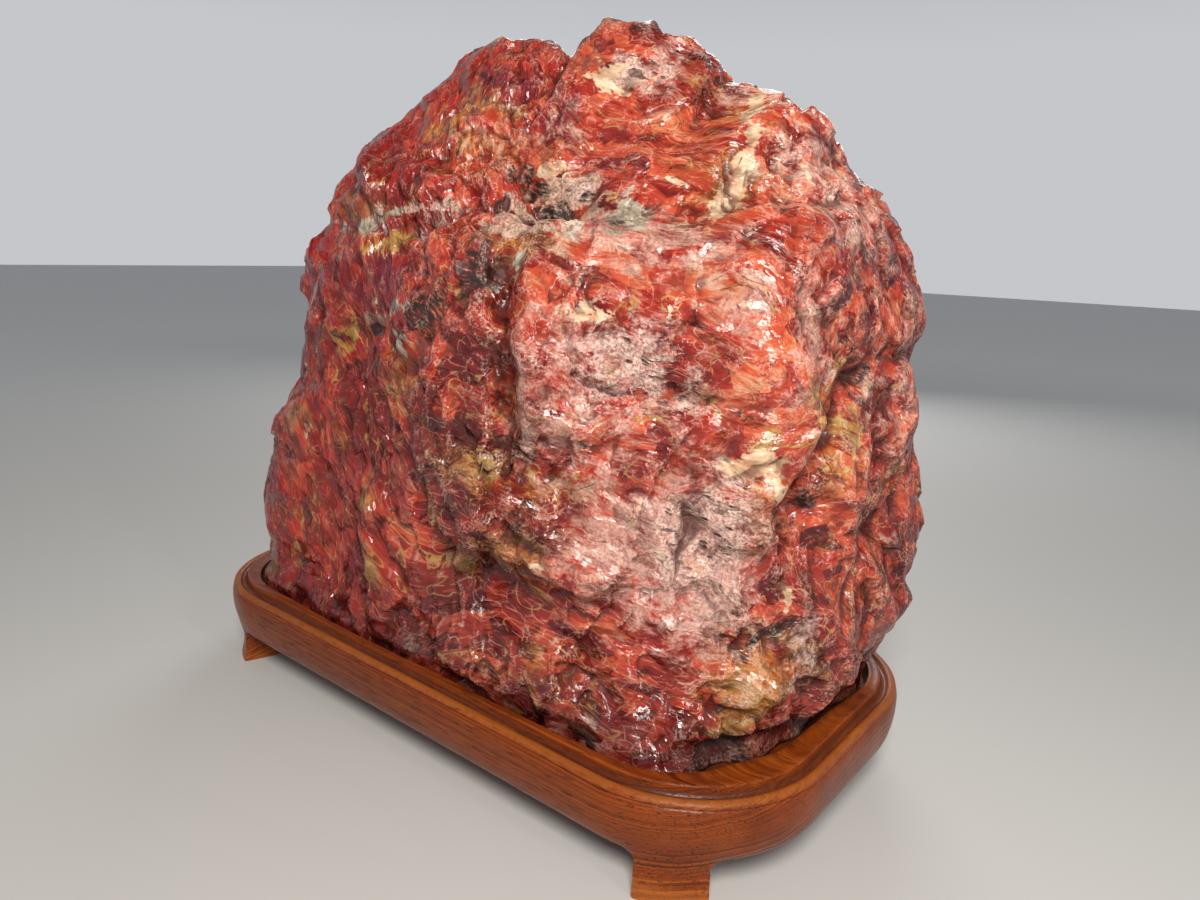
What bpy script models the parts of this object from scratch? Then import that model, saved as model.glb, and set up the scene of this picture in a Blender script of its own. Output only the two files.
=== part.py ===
"""A large block of red jasper standing in a one-piece carved wooden stand.

Metres, +Z up. The origin is on the surface that the feet stand on, under the middle of the tray.
+X runs along the tray, and -Y is its long front side. Forms on the stone are listed in
millimetres, in the same frame, and the functions turn them into metres.
"""

from math import cos, pi, radians, sin, sqrt

import bmesh
import bpy
import numpy as np

MM = 0.001
ROUNDING = 1e-6          # metres; nearer than this is taken as touching

# The tray, over its rim
HALF_LENGTH = 0.201
HALF_DEPTH = 0.105
CORNER_RADIUS = 0.070
LAND_HEIGHT = 0.052      # the flat strip between the rim's moulding and the stone
SEAT_HEIGHT = 0.043      # the floor of the seat cut for the stone
SEAT_DRAFT = 0.0010      # how far the seat's wall leans in towards its floor
SEAT_CHAMFER = 0.0007
UNDERSIDE_HEIGHT = 0.020

# The rim and wall in section, from the land outwards and down: inset from the rim's outer line, height
RIM_SECTION = (
    (9.6, 52.0),     # edge of the land
    (9.0, 51.1),
    (8.6, 49.0),     # cove
    (7.4, 47.3),
    (6.2, 47.4),
    (5.2, 48.9),     # bead
    (3.6, 49.6),
    (1.9, 48.9),
    (0.7, 46.9),
    (0.0, 41.0),     # belly of the wall
    (0.4, 34.0),
)
# The rest of the wall where there is no foot, and where there is one, row for row
PLAIN_SECTION = (
    (1.9, 27.0),
    (3.5, 23.2),
    (5.0, 21.2),
    (7.0, 20.0),
    (24.0, 20.0),
    (26.0, 20.0),
    (31.0, 20.0),
)
FOOT_SECTION = (
    (2.4, 25.5),     # the wall runs on into the foot
    (5.0, 13.0),     # ankle
    (3.8, 4.0),      # toe
    (3.0, 0.0),      # sole, outer edge
    (25.0, 0.0),     # sole, inner edge
    (26.5, 10.0),
    (31.0, 20.0),
)
FOOT_TURN = 60.0         # degrees round each corner from the tray's long axis to the foot's middle
FOOT_HALF_WIDTH = 0.0155
FOOT_FILLET = 0.0090     # radius of the hollow between a foot and the wall's lower edge
TOE_SPREAD = 1.08        # how much wider the toe is than the ankle
ANKLE_HEIGHT = 0.011

# The seat follows the stone: its inset from the rim's outer line (mm) at compass angles about the
# tray's middle (degrees from +X towards +Y)
SEAT_LINE = (
    (-165, 19), (-151, 17), (-140, 15), (-125, 12.5), (-110, 12), (-94, 12.5), (-75, 13), (-60, 12.5),
    (-42, 13.5), (-31, 17), (-24, 21), (-18, 26), (-13, 20), (-6, 19.5), (3, 18.5), (10, 16), (20, 14.5),
    (45, 15), (75, 15.5), (100, 14), (125, 14.5), (145, 16), (165, 18),
)
SEAT_SMOOTHING = (-4.0, -2.0, 0.0, 2.0, 4.0)     # degrees over which the line is averaged
RIM_CUTS_SIDE = 8        # points along a long straight run of the rim
RIM_CUTS_END = 3
PLAIN_CORNER_ANGLES = (0.0, 10.0, 20.0, 30.0)     # degrees, before the first foot fillet
FILLET_STEPS = (0.0, 0.07, 0.34, 0.67, 1.0)       # shares of a fillet's run at which it has a point
FINE_CORNER_POINTS = 61  # points round the rim where its line is only measured
FINE_SIDE_POINTS = 120
FINE_END_POINTS = 60
CLEAR_OF_FOOT = 1.0      # metres; stands for a place on a straight run, far from every foot

# The stone
FLOOR_GAP = 0.0003       # between the stone's flat foot and the seat's floor
SEAT_GAP = 0.0008        # between the stone's side and the seat's wall
SEAT_FLARE = 0.55        # how fast the plain block may widen above the seat
SKIN_FLARE = 0.88        # how fast the broken skin may
FOOT_TOP = 0.0535        # up to here the stone's side is the seat's line
SKIN_START = 0.0560      # from here up it is the broken skin
SPREAD_HEIGHT = 0.026    # over which the broken skin comes down to the seat's line
CORE = (0.005, 0.0, 0.180)     # the place from which the stone's reach is measured
FACE_SHARPNESS = 16.0
SEAT_SHARPNESS = 60.0
TRIM = 0.003             # taken off all round for the relief that is added
CREASE_PROFILE = 1.5     # power of a groove's fall-off, from 1 for a sharp crease to 2 for a round one
LEDGE_SIDE_REACH = 0.6   # how far a ledge runs on past its ends, as a share of its reach
GRID_CUTS = 71           # cuts along each edge of the cube that is shaped into the stone
KEPT_SHARE = 0.117       # share of the shaped stone's triangles that is kept

# Broken flats: size of a flat along X, Y and Z, height of the relief, how strongly it levels off,
# seed, how far its borders wander, over what distance, seed of the wander
LARGE_FLATS = ((0.052, 0.052, 0.066), 0.0085, 1.4, 41, 0.010, 0.050, 21)
MIDDLE_FLATS = ((0.021, 0.021, 0.028), 0.0030, 1.5, 71, 0.005, 0.030, 61)
FLAT_CRISPNESS = 14.0    # how sharply one flat gives way to the next
FLAT_STEP = 0.35         # how much one flat stands above or below the next
# Upright folds: size, height, layers, seed
FOLDS = ((0.045, 0.045, 0.075), 0.004, 3, 81)
# How far the listed forms wander from their drawn lines, over what distance, seed
WANDER = ((0.004, 0.035, 301), (0.0015, 0.012, 311))

# Odd numbers that mix the bits of a place's coordinates, for noise that is the same on every run
AXIS_MIX = (0x8DA6B343, 0xD8163841, 0xCB1AB31F)
SEED_MIX = 0x9E3779B9
BIT_MIX = ((15, 0x2C1B3C6D), (12, 0x297A2D39))
LAST_SHIFT = 15
LARGEST_MIX = 0xFFFFFFFF

# Looks
WOOD_COLOUR = (0.30, 0.095, 0.030)
WOOD_ROUGHNESS = 0.35
JASPER_COLOUR = (0.36, 0.045, 0.030)
JASPER_ROUGHNESS = 0.30
WOOD_EDGE_ANGLE = 40     # degrees; a sharper fold is shaded as an edge
STONE_EDGE_ANGLE = 50

# Broken faces of the plain block: compass angle and tilt of the outward direction, distance from the core
FACES = (
    # upright round the block
    ("long front", -97, 0, 91),
    ("front left turn", -122, 3, 133),
    ("near corner", -52, 2, 152),
    ("front right", -70, 0, 117),
    ("right end", 2, 0, 186),
    ("right near turn", -25, 0, 190),
    ("right back", 45, 8, 191),
    ("back", 92, 0, 91),
    ("back left", 140, 0, 158),
    ("left end", 180, 5, 188),
    ("left low", -150, -8, 184),
    # sloped up to the crown
    ("front slope", -85, 36, 112),
    ("brow", -62, 48, 138),
    ("left shoulder", -168, 42, 186),
    ("front left slope", -125, 33, 139),
    ("right shoulder", 12, 36, 196),
    ("right crown", 15, 58, 200),
    ("back slope", 95, 38, 122),
    ("back left slope", 150, 40, 160),
    ("crown", 0, 90, 194),
)

# Lumps and hollows: centre, half-sizes along X, Y and Z, rise (a hollow's is negative)
LUMPS = (
    ("crown left", (-32, 0, 352), (36, 60, 34), 4),
    ("crown right", (58, 0, 350), (28, 60, 34), 12),
    ("crown right corner", (30, 0, 352), (11, 50, 18), 7),
    ("left shoulder knob", (-116, -20, 308), (17, 34, 18), 15),
    ("left ear", (-98, -62, 272), (16, 26, 20), 7),
    ("left low lump", (-150, -56, 98), (46, 44, 52), 31),
    ("left low front", (-100, -88, 84), (60, 20, 40), 5),
    ("boss", (160, -62, 240), (30, 30, 22), 9),
    ("second boss", (166, -62, 212), (26, 26, 13), 6),
    ("third boss", (178, -52, 192), (22, 26, 13), 4),
    ("brow ridge", (100, -70, 258), (60, 22, 12), 6),
    ("olive block", (50, -98, 152), (26, 20, 24), 5),
    ("middle low swell", (112, -92, 148), (34, 26, 26), 6),
    ("right rib", (193, -10, 150), (20, 13, 60), 7),
    ("right end upper", (188, 45, 228), (26, 24, 18), 3),
    ("right end middle", (192, 50, 186), (26, 30, 20), 8),
    ("right end low", (188, 62, 112), (32, 40, 34), 14),
    ("near foot block", (172, -56, 84), (22, 22, 24), 9),
    ("vein shoulder", (130, 0, 312), (22, 44, 26), 6),
    ("right shoulder corner", (140, 14, 308), (20, 44, 15), 7),
    ("upper left swell", (-60, -60, 290), (40, 34, 26), 5),
    ("back lump", (50, 92, 260), (50, 30, 40), 8),
    ("back low lump", (-90, 88, 110), (50, 30, 40), 8),
    ("vug", (58, -62, 284), (26, 30, 17), -15),
    ("dusty dish", (125, -86, 212), (26, 30, 26), -7),
    ("low dusty dish", (152, -74, 152), (20, 26, 22), -6),
    ("low hollow", (62, -102, 104), (30, 24, 20), -15),
    ("quartz hollow", (196, 38, 138), (9, 12, 9), -6),
    ("right valley head", (184, -20, 262), (26, 24, 26), -4),
    ("crown saddle", (14, 0, 358), (12, 50, 22), -4),
    ("crown right dip", (96, 0, 345), (16, 50, 24), -9),
    ("back hollow", (-30, 95, 200), (60, 30, 50), -9),
    ("back right dent", (120, 90, 120), (44, 30, 40), -7),
    ("left end dent", (-182, 20, 210), (30, 40, 30), -9),
)

# Creases and cracks: from, to, half-width, depth
GROOVES = (
    ("crown notch", (15, 40, 372), (15, -40, 335), 6, 9),
    ("band left", (-95, -62, 262), (-10, -76, 270), 7, 6),
    ("band right", (-10, -76, 270), (40, -66, 278), 6, 5),
    ("lip slit", (-24, -96, 222), (-6, -97, 214), 4, 5),
    ("left diagonal", (-20, -96, 215), (22, -100, 186), 7, 5),
    ("long valley top", (-36, -92, 178), (6, -99, 142), 8, 9),
    ("long valley middle", (6, -99, 142), (18, -100, 118), 10, 12),
    ("long valley foot", (18, -100, 118), (30, -97, 66), 9, 8),
    ("brow slit", (100, -92, 206), (122, -88, 203), 3, 4),
    ("boss slit", (150, -76, 206), (170, -60, 203), 4, 6),
    ("slant crease", (88, -102, 172), (136, -86, 140), 7, 6),
    ("slant crease low", (136, -86, 140), (160, -72, 118), 6, 4),
    ("right crack", (190, 54, 219), (190, 2, 213), 6, 10),
    ("right crack low", (190, 2, 213), (192, -22, 206), 5, 7),
    ("right valley", (193, -14, 204), (186, -44, 160), 8, 9),
    ("right valley low", (186, -44, 160), (188, -40, 84), 7, 7),
    ("right groove", (194, 14, 200), (196, 20, 90), 8, 6),
    ("hole", (183, -48, 164), (188, -38, 164), 4, 7),
    ("foot crack", (184, -50, 104), (166, -66, 66), 4, 7),
    ("foot crack top", (178, -56, 108), (186, -46, 112), 3, 5),
    ("left fold one", (-62, -90, 226), (-50, -92, 90), 8, 4),
    ("left fold two", (-96, -84, 236), (-84, -88, 100), 8, 5),
    ("left fold three", (-22, -96, 160), (-14, -96, 70), 7, 4),
    ("step fold", (56, -84, 250), (70, -102, 180), 6, 6),
    ("back crease", (-140, 70, 280), (-20, 95, 140), 9, 8),
    ("back crease high", (40, 95, 180), (150, 80, 240), 8, 7),
    ("left end crease", (-186, -20, 250), (-190, 40, 120), 9, 8),
)

# Ledges: from, to, direction of the side that stands proud, rise, reach of the raised side, step width
LEDGES = (
    ("step edge", (62, -80, 262), (74, -100, 214), (1, 0, 0.1), 7, 34, 3),
    ("step edge low", (74, -100, 214), (86, -102, 170), (1, 0, 0.1), 7, 30, 3),
    ("band overhang", (-90, -66, 268), (38, -66, 282), (0, 0, 1), 5, 26, 3),
    ("olive ledge", (24, -100, 166), (80, -104, 160), (0, 0, -1), 6, 24, 3),
    ("hollow lip", (40, -102, 126), (106, -98, 116), (0, 0, 1), 8, 26, 3),
    ("left step", (-146, -62, 170), (-120, -76, 160), (0, 0, -1), 6, 30, 4),
    ("brow edge", (90, -78, 244), (160, -58, 252), (0, 0, 1), 4, 20, 3),
    ("near corner edge", (128, -88, 200), (140, -86, 80), (1, 0, 0), 4, 24, 4),
    ("crown right drop", (92, 30, 350), (96, -40, 320), (-1, 0, 0), 7, 26, 3),
)


def clear_scene():
    for item in list(bpy.data.objects):
        bpy.data.objects.remove(item, do_unlink=True)


def make_material(name, colour, roughness):
    material = bpy.data.materials.new(name)
    material.use_nodes = True
    shader = material.node_tree.nodes["Principled BSDF"]
    shader.inputs["Base Color"].default_value = (*colour, 1.0)
    shader.inputs["Roughness"].default_value = roughness
    shader.inputs["Metallic"].default_value = 0.0
    return material


def add_object(name, mesh, material, parent, location=(0.0, 0.0, 0.0)):
    mesh.materials.append(material)
    item = bpy.data.objects.new(name, mesh)
    bpy.context.collection.objects.link(item)
    item.parent = parent
    item.location = location
    return item


# The line of the tray's rim


def corner_angles():
    """Angles round one corner, 0 towards the tray's end and 90 towards its long side.

    They are close together where a foot's fillet drops from the wall's lower edge.
    """
    half = np.degrees(FOOT_HALF_WIDTH / CORNER_RADIUS)
    fillet = np.degrees(FOOT_FILLET / CORNER_RADIUS)
    below = [FOOT_TURN - half - fillet * share for share in reversed(FILLET_STEPS)]
    above = [FOOT_TURN + half + fillet * share for share in FILLET_STEPS]
    return np.array([*PLAIN_CORNER_ANGLES, *below, FOOT_TURN, *above, 90.0])


def rim_stations(angles, along_side, along_end):
    """Places round the rim's outer line, counter-clockwise: point, outward direction, and how far
    each place is from the middle of its corner's foot, along the line."""
    points, outwards, offsets = [], [], []
    corners = ((1, -1), (1, 1), (-1, 1), (-1, -1))
    for index, (side_x, side_y) in enumerate(corners):
        centre = np.array([side_x, side_y]) * (HALF_LENGTH - CORNER_RADIUS, HALF_DEPTH - CORNER_RADIUS)
        turned = angles if side_x * side_y > 0 else angles[::-1]
        outward = np.stack([side_x * np.cos(np.radians(turned)), side_y * np.sin(np.radians(turned))], 1)
        points.append(centre + CORNER_RADIUS * outward)
        outwards.append(outward)
        sign = 1 if side_x * side_y > 0 else -1
        offsets.append(np.radians(turned - FOOT_TURN) * CORNER_RADIUS * sign)
        following = np.array(corners[(index + 1) % 4])
        next_centre = following * (HALF_LENGTH - CORNER_RADIUS, HALF_DEPTH - CORNER_RADIUS)
        count = along_end if index % 2 == 0 else along_side
        share = (np.arange(1, count + 1) / (count + 1))[:, None]
        straight = centre * (1 - share) + next_centre * share
        points.append(straight + CORNER_RADIUS * outward[-1])
        outwards.append(np.repeat(outward[-1:], count, 0))
        offsets.append(np.full(count, CLEAR_OF_FOOT))
    return np.concatenate(points), np.concatenate(outwards), np.concatenate(offsets)


def seat_inset(angle):
    """Inset of the seat's edge from the rim at a compass angle in radians."""
    listed = np.array([row[0] for row in SEAT_LINE], float)
    inset = np.array([row[1] for row in SEAT_LINE], float)
    spread = [np.interp(np.degrees(angle) + turn, listed, inset, period=360) for turn in SEAT_SMOOTHING]
    return np.mean(spread, axis=0) * MM


def seat_reach(angle):
    """Distance from the tray's middle to the seat's edge at a compass angle in radians."""
    corner = np.linspace(0, 90, FINE_CORNER_POINTS)
    points, outwards, _ = rim_stations(corner, FINE_SIDE_POINTS, FINE_END_POINTS)
    edge = points - outwards * seat_inset(np.arctan2(points[:, 1], points[:, 0]))[:, None]
    compass = np.arctan2(edge[:, 1], edge[:, 0])
    order = np.argsort(compass)
    return np.interp(angle, compass[order], np.hypot(*edge.T)[order], period=2 * pi)


# The wooden stand


def foot_share(offset):
    """How far the wall's lower edge has dropped to the surface: 1 on a foot, 0 clear of it, and
    along a quarter circle between."""
    beyond = np.clip(np.abs(offset) - FOOT_HALF_WIDTH, 0.0, FOOT_FILLET)
    lift = np.sqrt(FOOT_FILLET**2 - (FOOT_FILLET - beyond) ** 2)
    edge = np.where(beyond > ROUNDING, UNDERSIDE_HEIGHT - FOOT_FILLET + lift, 0.0)
    return 1 - edge / UNDERSIDE_HEIGHT


def stand_rings():
    """Closed rings of points, from the seat's floor over the rim and down to the underside."""
    points, outwards, offsets = rim_stations(corner_angles(), RIM_CUTS_SIDE, RIM_CUTS_END)
    seat = seat_inset(np.arctan2(points[:, 1], points[:, 0]))
    share = foot_share(offsets)
    along = np.stack([-outwards[:, 1], outwards[:, 0]], 1)
    rings = []

    def add_ring(inset, height, spread=1.0):
        inset = np.broadcast_to(inset, share.shape)
        height = np.broadcast_to(height, share.shape)
        on_foot = np.where(np.abs(offsets) <= FOOT_HALF_WIDTH + ROUNDING, offsets * (spread - 1), 0.0)
        flat = points - outwards * inset[:, None] + along * on_foot[:, None]
        rings.append(np.column_stack([flat, height]))

    add_ring(seat + SEAT_DRAFT, SEAT_HEIGHT)
    add_ring(seat, LAND_HEIGHT - SEAT_CHAMFER)
    add_ring(seat - SEAT_CHAMFER, LAND_HEIGHT)
    for inset, height in RIM_SECTION:
        add_ring(inset * MM, height * MM)
    for (plain_inset, plain_height), (foot_inset, foot_height) in zip(PLAIN_SECTION, FOOT_SECTION):
        spread = TOE_SPREAD if foot_height * MM < ANKLE_HEIGHT else 1.0
        inset = plain_inset + (foot_inset - plain_inset) * share
        height = plain_height + (foot_height - plain_height) * share
        add_ring(inset * MM, height * MM, spread)
    return rings


def make_stand(parent):
    rings = stand_rings()
    form = bmesh.new()
    first = [form.verts.new(point) for point in rings[0]]
    form.faces.new(first)
    edges = list(form.edges)
    ring = first
    for points in rings[1:]:
        grown = bmesh.ops.extrude_edge_only(form, edges=edges)["geom"]
        edges = [part for part in grown if isinstance(part, bmesh.types.BMEdge)]
        new_verts = set(part for part in grown if isinstance(part, bmesh.types.BMVert))
        moved = []
        for vert, point in zip(ring, points):
            follower = next(e.other_vert(vert) for e in vert.link_edges if e.other_vert(vert) in new_verts)
            moved.append((follower, point))
        for follower, point in moved:
            follower.co = point
        ring = [follower for follower, _ in moved]
        edges = [e for e in edges if e.verts[0] in new_verts and e.verts[1] in new_verts]
    bmesh.ops.contextual_create(form, geom=edges)
    bmesh.ops.recalc_face_normals(form, faces=form.faces[:])
    mesh = bpy.data.meshes.new("wooden_stand")
    form.to_mesh(mesh)
    form.free()
    mesh.shade_smooth()
    mesh.set_sharp_from_angle(angle=radians(WOOD_EDGE_ANGLE))
    wood = make_material("oiled wood", WOOD_COLOUR, WOOD_ROUGHNESS)
    return add_object("wooden_stand", mesh, wood, parent)


# Noise that is the same on every run


def lattice(place, seed):
    """A number from 0 to 1 for each whole-numbered place, from mixing the bits of its coordinates."""
    x, y, z = (place[:, k].astype(np.uint32) * np.uint32(AXIS_MIX[k]) for k in range(3))
    mixed = x ^ y ^ z ^ np.uint32((seed * SEED_MIX) % (LARGEST_MIX + 1))
    for shift, multiplier in BIT_MIX:
        mixed = (mixed ^ (mixed >> np.uint32(shift))) * np.uint32(multiplier)
    return (mixed ^ (mixed >> np.uint32(LAST_SHIFT))) / LARGEST_MIX


def smooth_noise(p, seed):
    """Noise from -1 to 1: the eight lattice numbers round each point, blended across the cell."""
    base = np.floor(p)
    part = p - base
    part = part**3 * (part * (part * 6 - 15) + 10)
    cell = base.astype(np.int64)
    total = np.zeros(len(p))
    for step in np.ndindex(2, 2, 2):
        weight = np.prod(np.where(step, part, 1 - part), axis=1)
        total += weight * lattice(cell + step, seed)
    return total * 2 - 1


def layered_noise(p, seed, layers):
    """Smooth noise added to itself at half the size and half the height, over and over."""
    total = np.zeros(len(p))
    for layer in range(layers):
        total += smooth_noise(p * 2.03**layer + 17.1 * layer, seed + layer) * 0.5**layer
    return total / (2 - 2 * 0.5**layers)


def drift(p, seed):
    """Smooth noise along each of the three axes."""
    return np.stack([smooth_noise(p, seed + k) for k in range(3)], 1)


def flats(p, seed):
    """Broken flats: each lattice cell holds a plane tilted its own way, and a point's height is the
    mean of the planes near it, weighted by how near their centres are."""
    base = np.floor(p).astype(np.int64)
    total = np.zeros(len(p))
    height = np.zeros(len(p))
    for step in np.ndindex(3, 3, 3):
        cell = base + np.array(step) - 1
        centre = cell + np.stack([lattice(cell, seed + k) for k in range(3)], 1)
        tilt = np.stack([lattice(cell, seed + 5 + k) * 2 - 1 for k in range(3)], 1)
        offset = p - centre
        weight = np.exp(-FLAT_CRISPNESS * (offset * offset).sum(1))
        total += weight
        height += weight * ((offset * tilt).sum(1) + FLAT_STEP * (lattice(cell, seed + 9) * 2 - 1))
    return height / total


# The stone


def block_reach(directions):
    """Reach of the plain block along each direction from the core.

    Each broken face is a plane. The reach is a soft least of the planes' own reaches, and then of
    the cone that rises from the seat's line and the flat foot.
    """
    crowd = np.zeros(len(directions))
    for _, compass, tilt, distance in FACES:
        a, t = radians(compass), radians(tilt)
        outward = np.array([cos(a) * cos(t), sin(a) * cos(t), sin(t)])
        crowd += (np.maximum(directions @ outward, 0) / (distance * MM)) ** FACE_SHARPNESS
    faces = crowd ** (1 / FACE_SHARPNESS)
    level = np.hypot(directions[:, 0], directions[:, 1])
    compass = np.arctan2(directions[:, 1], directions[:, 0])
    cone = seat_reach(compass) + SEAT_FLARE * (CORE[2] - LAND_HEIGHT)
    seat = np.maximum(level - SEAT_FLARE * directions[:, 2], 0) / cone
    foot = np.maximum(-directions[:, 2], 0) / (CORE[2] - SEAT_HEIGHT - FLOOR_GAP)
    together = faces**SEAT_SHARPNESS + seat**SEAT_SHARPNESS + foot**SEAT_SHARPNESS
    return together ** (-1 / SEAT_SHARPNESS)


def offset_from_segment(p, start, end):
    """Offset in millimetres of each point from the nearest place on a segment."""
    start, end = np.array(start, float), np.array(end, float)
    run = end - start
    share = np.clip((p / MM - start) @ run / (run @ run), 0, 1)
    return p / MM - (start + share[:, None] * run)


def listed_forms(p):
    """Rise from the lumps, grooves and ledges, in metres."""
    rise = np.zeros(len(p))
    for _, centre, size, height in LUMPS:
        rise += height * np.exp(-((((p / MM - centre) / size) ** 2).sum(1)))
    for _, start, end, width, depth in GROOVES:
        away = np.linalg.norm(offset_from_segment(p, start, end), axis=1) / width
        rise -= depth * np.exp(-(away**CREASE_PROFILE))
    for _, start, end, proud, height, reach, width in LEDGES:
        offset = offset_from_segment(p, start, end)
        proud = np.array(proud, float) / sqrt(sum(part * part for part in proud))
        side = offset @ proud
        beside = np.linalg.norm(offset - side[:, None] * proud, axis=1)
        step = (1 + np.tanh(side / width)) / 2
        fade = np.exp(-((np.maximum(side, 0) / reach) ** 2) - (beside / (reach * LEDGE_SIDE_REACH)) ** 2)
        rise += height * step * fade
    return rise * MM


def broken_relief(p):
    """Rise from large and middle-sized broken flats and from upright folds."""
    size, height, layers, seed = FOLDS
    rise = height * layered_noise(p / size, seed, layers)
    for size, height, levelling, seed, shift, over, shift_seed in (LARGE_FLATS, MIDDLE_FLATS):
        wandering = p + shift * drift(p / over, shift_seed)
        rise += height * np.tanh(levelling * flats(wandering / size, seed))
    return rise


def stone_skin(directions):
    """Points of the stone's skin: the block's reach plus the rise of its forms, from the core."""
    plain = CORE + directions * block_reach(directions)[:, None]
    wandering = plain + sum(shift * drift(plain / over, seed) for shift, over, seed in WANDER)
    rise = listed_forms(wandering) + broken_relief(wandering) - TRIM
    return plain + directions * rise[:, None]


def hold_over_seat(p):
    """Bring the lowest part of the skin down to the seat's line: what is outside comes in to a
    cone that widens from the line, and what is inside moves out to it."""
    away = np.hypot(p[:, 0], p[:, 1])
    line = seat_reach(np.arctan2(p[:, 1], p[:, 0])) - SEAT_GAP
    up = np.maximum(p[:, 2] - FOOT_TOP, 0)
    held = np.minimum(away, line + SKIN_FLARE * up)
    share = np.clip(1 - up / SPREAD_HEIGHT, 0, 1) ** 2
    held += np.maximum(line - held, 0) * share
    p[:, :2] *= (held / away)[:, None]
    return p


def get_points(mesh):
    flat = np.empty(len(mesh.vertices) * 3)
    mesh.vertices.foreach_get("co", flat)
    return flat.reshape(-1, 3)


def shaped_cube():
    """A finely cut cube, each of whose points is sent out from the core to the stone's skin, then
    thinned to fewer faces where the skin is flat."""
    form = bmesh.new()
    bmesh.ops.create_cube(form, size=2.0)
    bmesh.ops.subdivide_edges(form, edges=form.edges[:], cuts=GRID_CUTS, use_grid_fill=True)
    mesh = bpy.data.meshes.new("shaped cube")
    form.to_mesh(mesh)
    form.free()
    spread = np.tan(get_points(mesh) * (pi / 4))
    directions = spread / np.linalg.norm(spread, axis=1, keepdims=True)
    mesh.vertices.foreach_set("co", stone_skin(directions).ravel())
    mesh.update()
    block = bpy.data.objects.new("shaped cube", mesh)
    bpy.context.collection.objects.link(block)
    thin = block.modifiers.new("fewer faces", "DECIMATE")
    thin.decimate_type = "COLLAPSE"
    thin.ratio = KEPT_SHARE
    thinned = bpy.data.meshes.new_from_object(block.evaluated_get(bpy.context.evaluated_depsgraph_get()))
    bpy.data.objects.remove(block, do_unlink=True)
    return thinned


def foot_ring(form, inset, height):
    """A closed ring of edges just inside the seat, with a corner at each of the seat's own corners."""
    points, outwards, _ = rim_stations(corner_angles(), RIM_CUTS_SIDE, RIM_CUTS_END)
    seat = seat_inset(np.arctan2(points[:, 1], points[:, 0]))
    flat = points - outwards * (seat + inset)[:, None]
    verts = [form.verts.new((x, y, height)) for x, y in flat]
    return [form.edges.new((verts[k - 1], verts[k])) for k in range(len(verts))]


def make_stone(parent):
    """The broken skin above, joined to a plain foot that stands in the seat."""
    mesh = shaped_cube()
    form = bmesh.new()
    form.from_mesh(mesh)
    whole = form.verts[:] + form.edges[:] + form.faces[:]
    bmesh.ops.bisect_plane(form, geom=whole, plane_co=(0, 0, SKIN_START), plane_no=(0, 0, 1), clear_inner=True)
    skin_edge = [edge for edge in form.edges if edge.is_boundary]
    top = foot_ring(form, SEAT_GAP, FOOT_TOP)
    bottom = foot_ring(form, SEAT_GAP + SEAT_DRAFT, SEAT_HEIGHT + FLOOR_GAP)
    bmesh.ops.bridge_loops(form, edges=skin_edge + top)
    bmesh.ops.bridge_loops(form, edges=top + bottom)
    bmesh.ops.contextual_create(form, geom=bottom)
    bmesh.ops.recalc_face_normals(form, faces=form.faces[:])
    form.to_mesh(mesh)
    form.free()
    foot = np.array([0.0, 0.0, SEAT_HEIGHT + FLOOR_GAP])
    points = get_points(mesh)
    skin = points[:, 2] > FOOT_TOP + ROUNDING
    points[skin] = hold_over_seat(points[skin])
    mesh.vertices.foreach_set("co", (points - foot).ravel())
    mesh.name = "jasper_stone"
    mesh.shade_smooth()
    mesh.set_sharp_from_angle(angle=radians(STONE_EDGE_ANGLE))
    jasper = make_material("red jasper", JASPER_COLOUR, JASPER_ROUGHNESS)
    return add_object("jasper_stone", mesh, jasper, parent, location=foot)


def main():
    clear_scene()
    base = bpy.data.objects.new("viewing_stone", None)
    bpy.context.collection.objects.link(base)
    make_stand(base)
    make_stone(base)


main()
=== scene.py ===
"""The looks of a red jasper viewing stone that stands in a carved wooden tray.

Metres, +Z up, in the same frame as the solids. Forms, patches and veins on the stone are listed in
millimetres in that frame, and the functions turn them into metres.
"""

from math import cos, pi, radians, sin, sqrt

import bpy
import numpy as np
from mathutils import Matrix, Vector


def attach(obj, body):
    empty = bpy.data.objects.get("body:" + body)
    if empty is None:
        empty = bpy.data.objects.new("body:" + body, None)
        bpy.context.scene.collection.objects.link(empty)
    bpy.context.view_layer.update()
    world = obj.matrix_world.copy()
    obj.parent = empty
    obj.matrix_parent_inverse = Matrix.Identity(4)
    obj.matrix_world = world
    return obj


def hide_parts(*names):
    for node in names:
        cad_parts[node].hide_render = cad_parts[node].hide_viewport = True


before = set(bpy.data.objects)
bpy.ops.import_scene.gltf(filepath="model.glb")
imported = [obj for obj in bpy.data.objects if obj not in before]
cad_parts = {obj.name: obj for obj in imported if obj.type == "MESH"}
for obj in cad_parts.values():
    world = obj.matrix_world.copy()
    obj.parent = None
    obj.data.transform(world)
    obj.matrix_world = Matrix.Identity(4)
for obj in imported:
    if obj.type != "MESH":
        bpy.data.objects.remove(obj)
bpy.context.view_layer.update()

MM = 0.001

# The camera, at the photo's place and angle
CAMERA_PLACE = (0.32156, -0.34620, 0.26000)
CAMERA_FORWARD = (-0.60539, 0.76108, -0.23294)
CAMERA_RIGHT = (0.77668, 0.62886, 0.03614)
FOCAL_PIXELS = 860.0     # in an image 1200 pixels wide
IMAGE_WIDTH = 1200.0
SENSOR_WIDTH = 36.0
CLIP_START = 0.01

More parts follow.
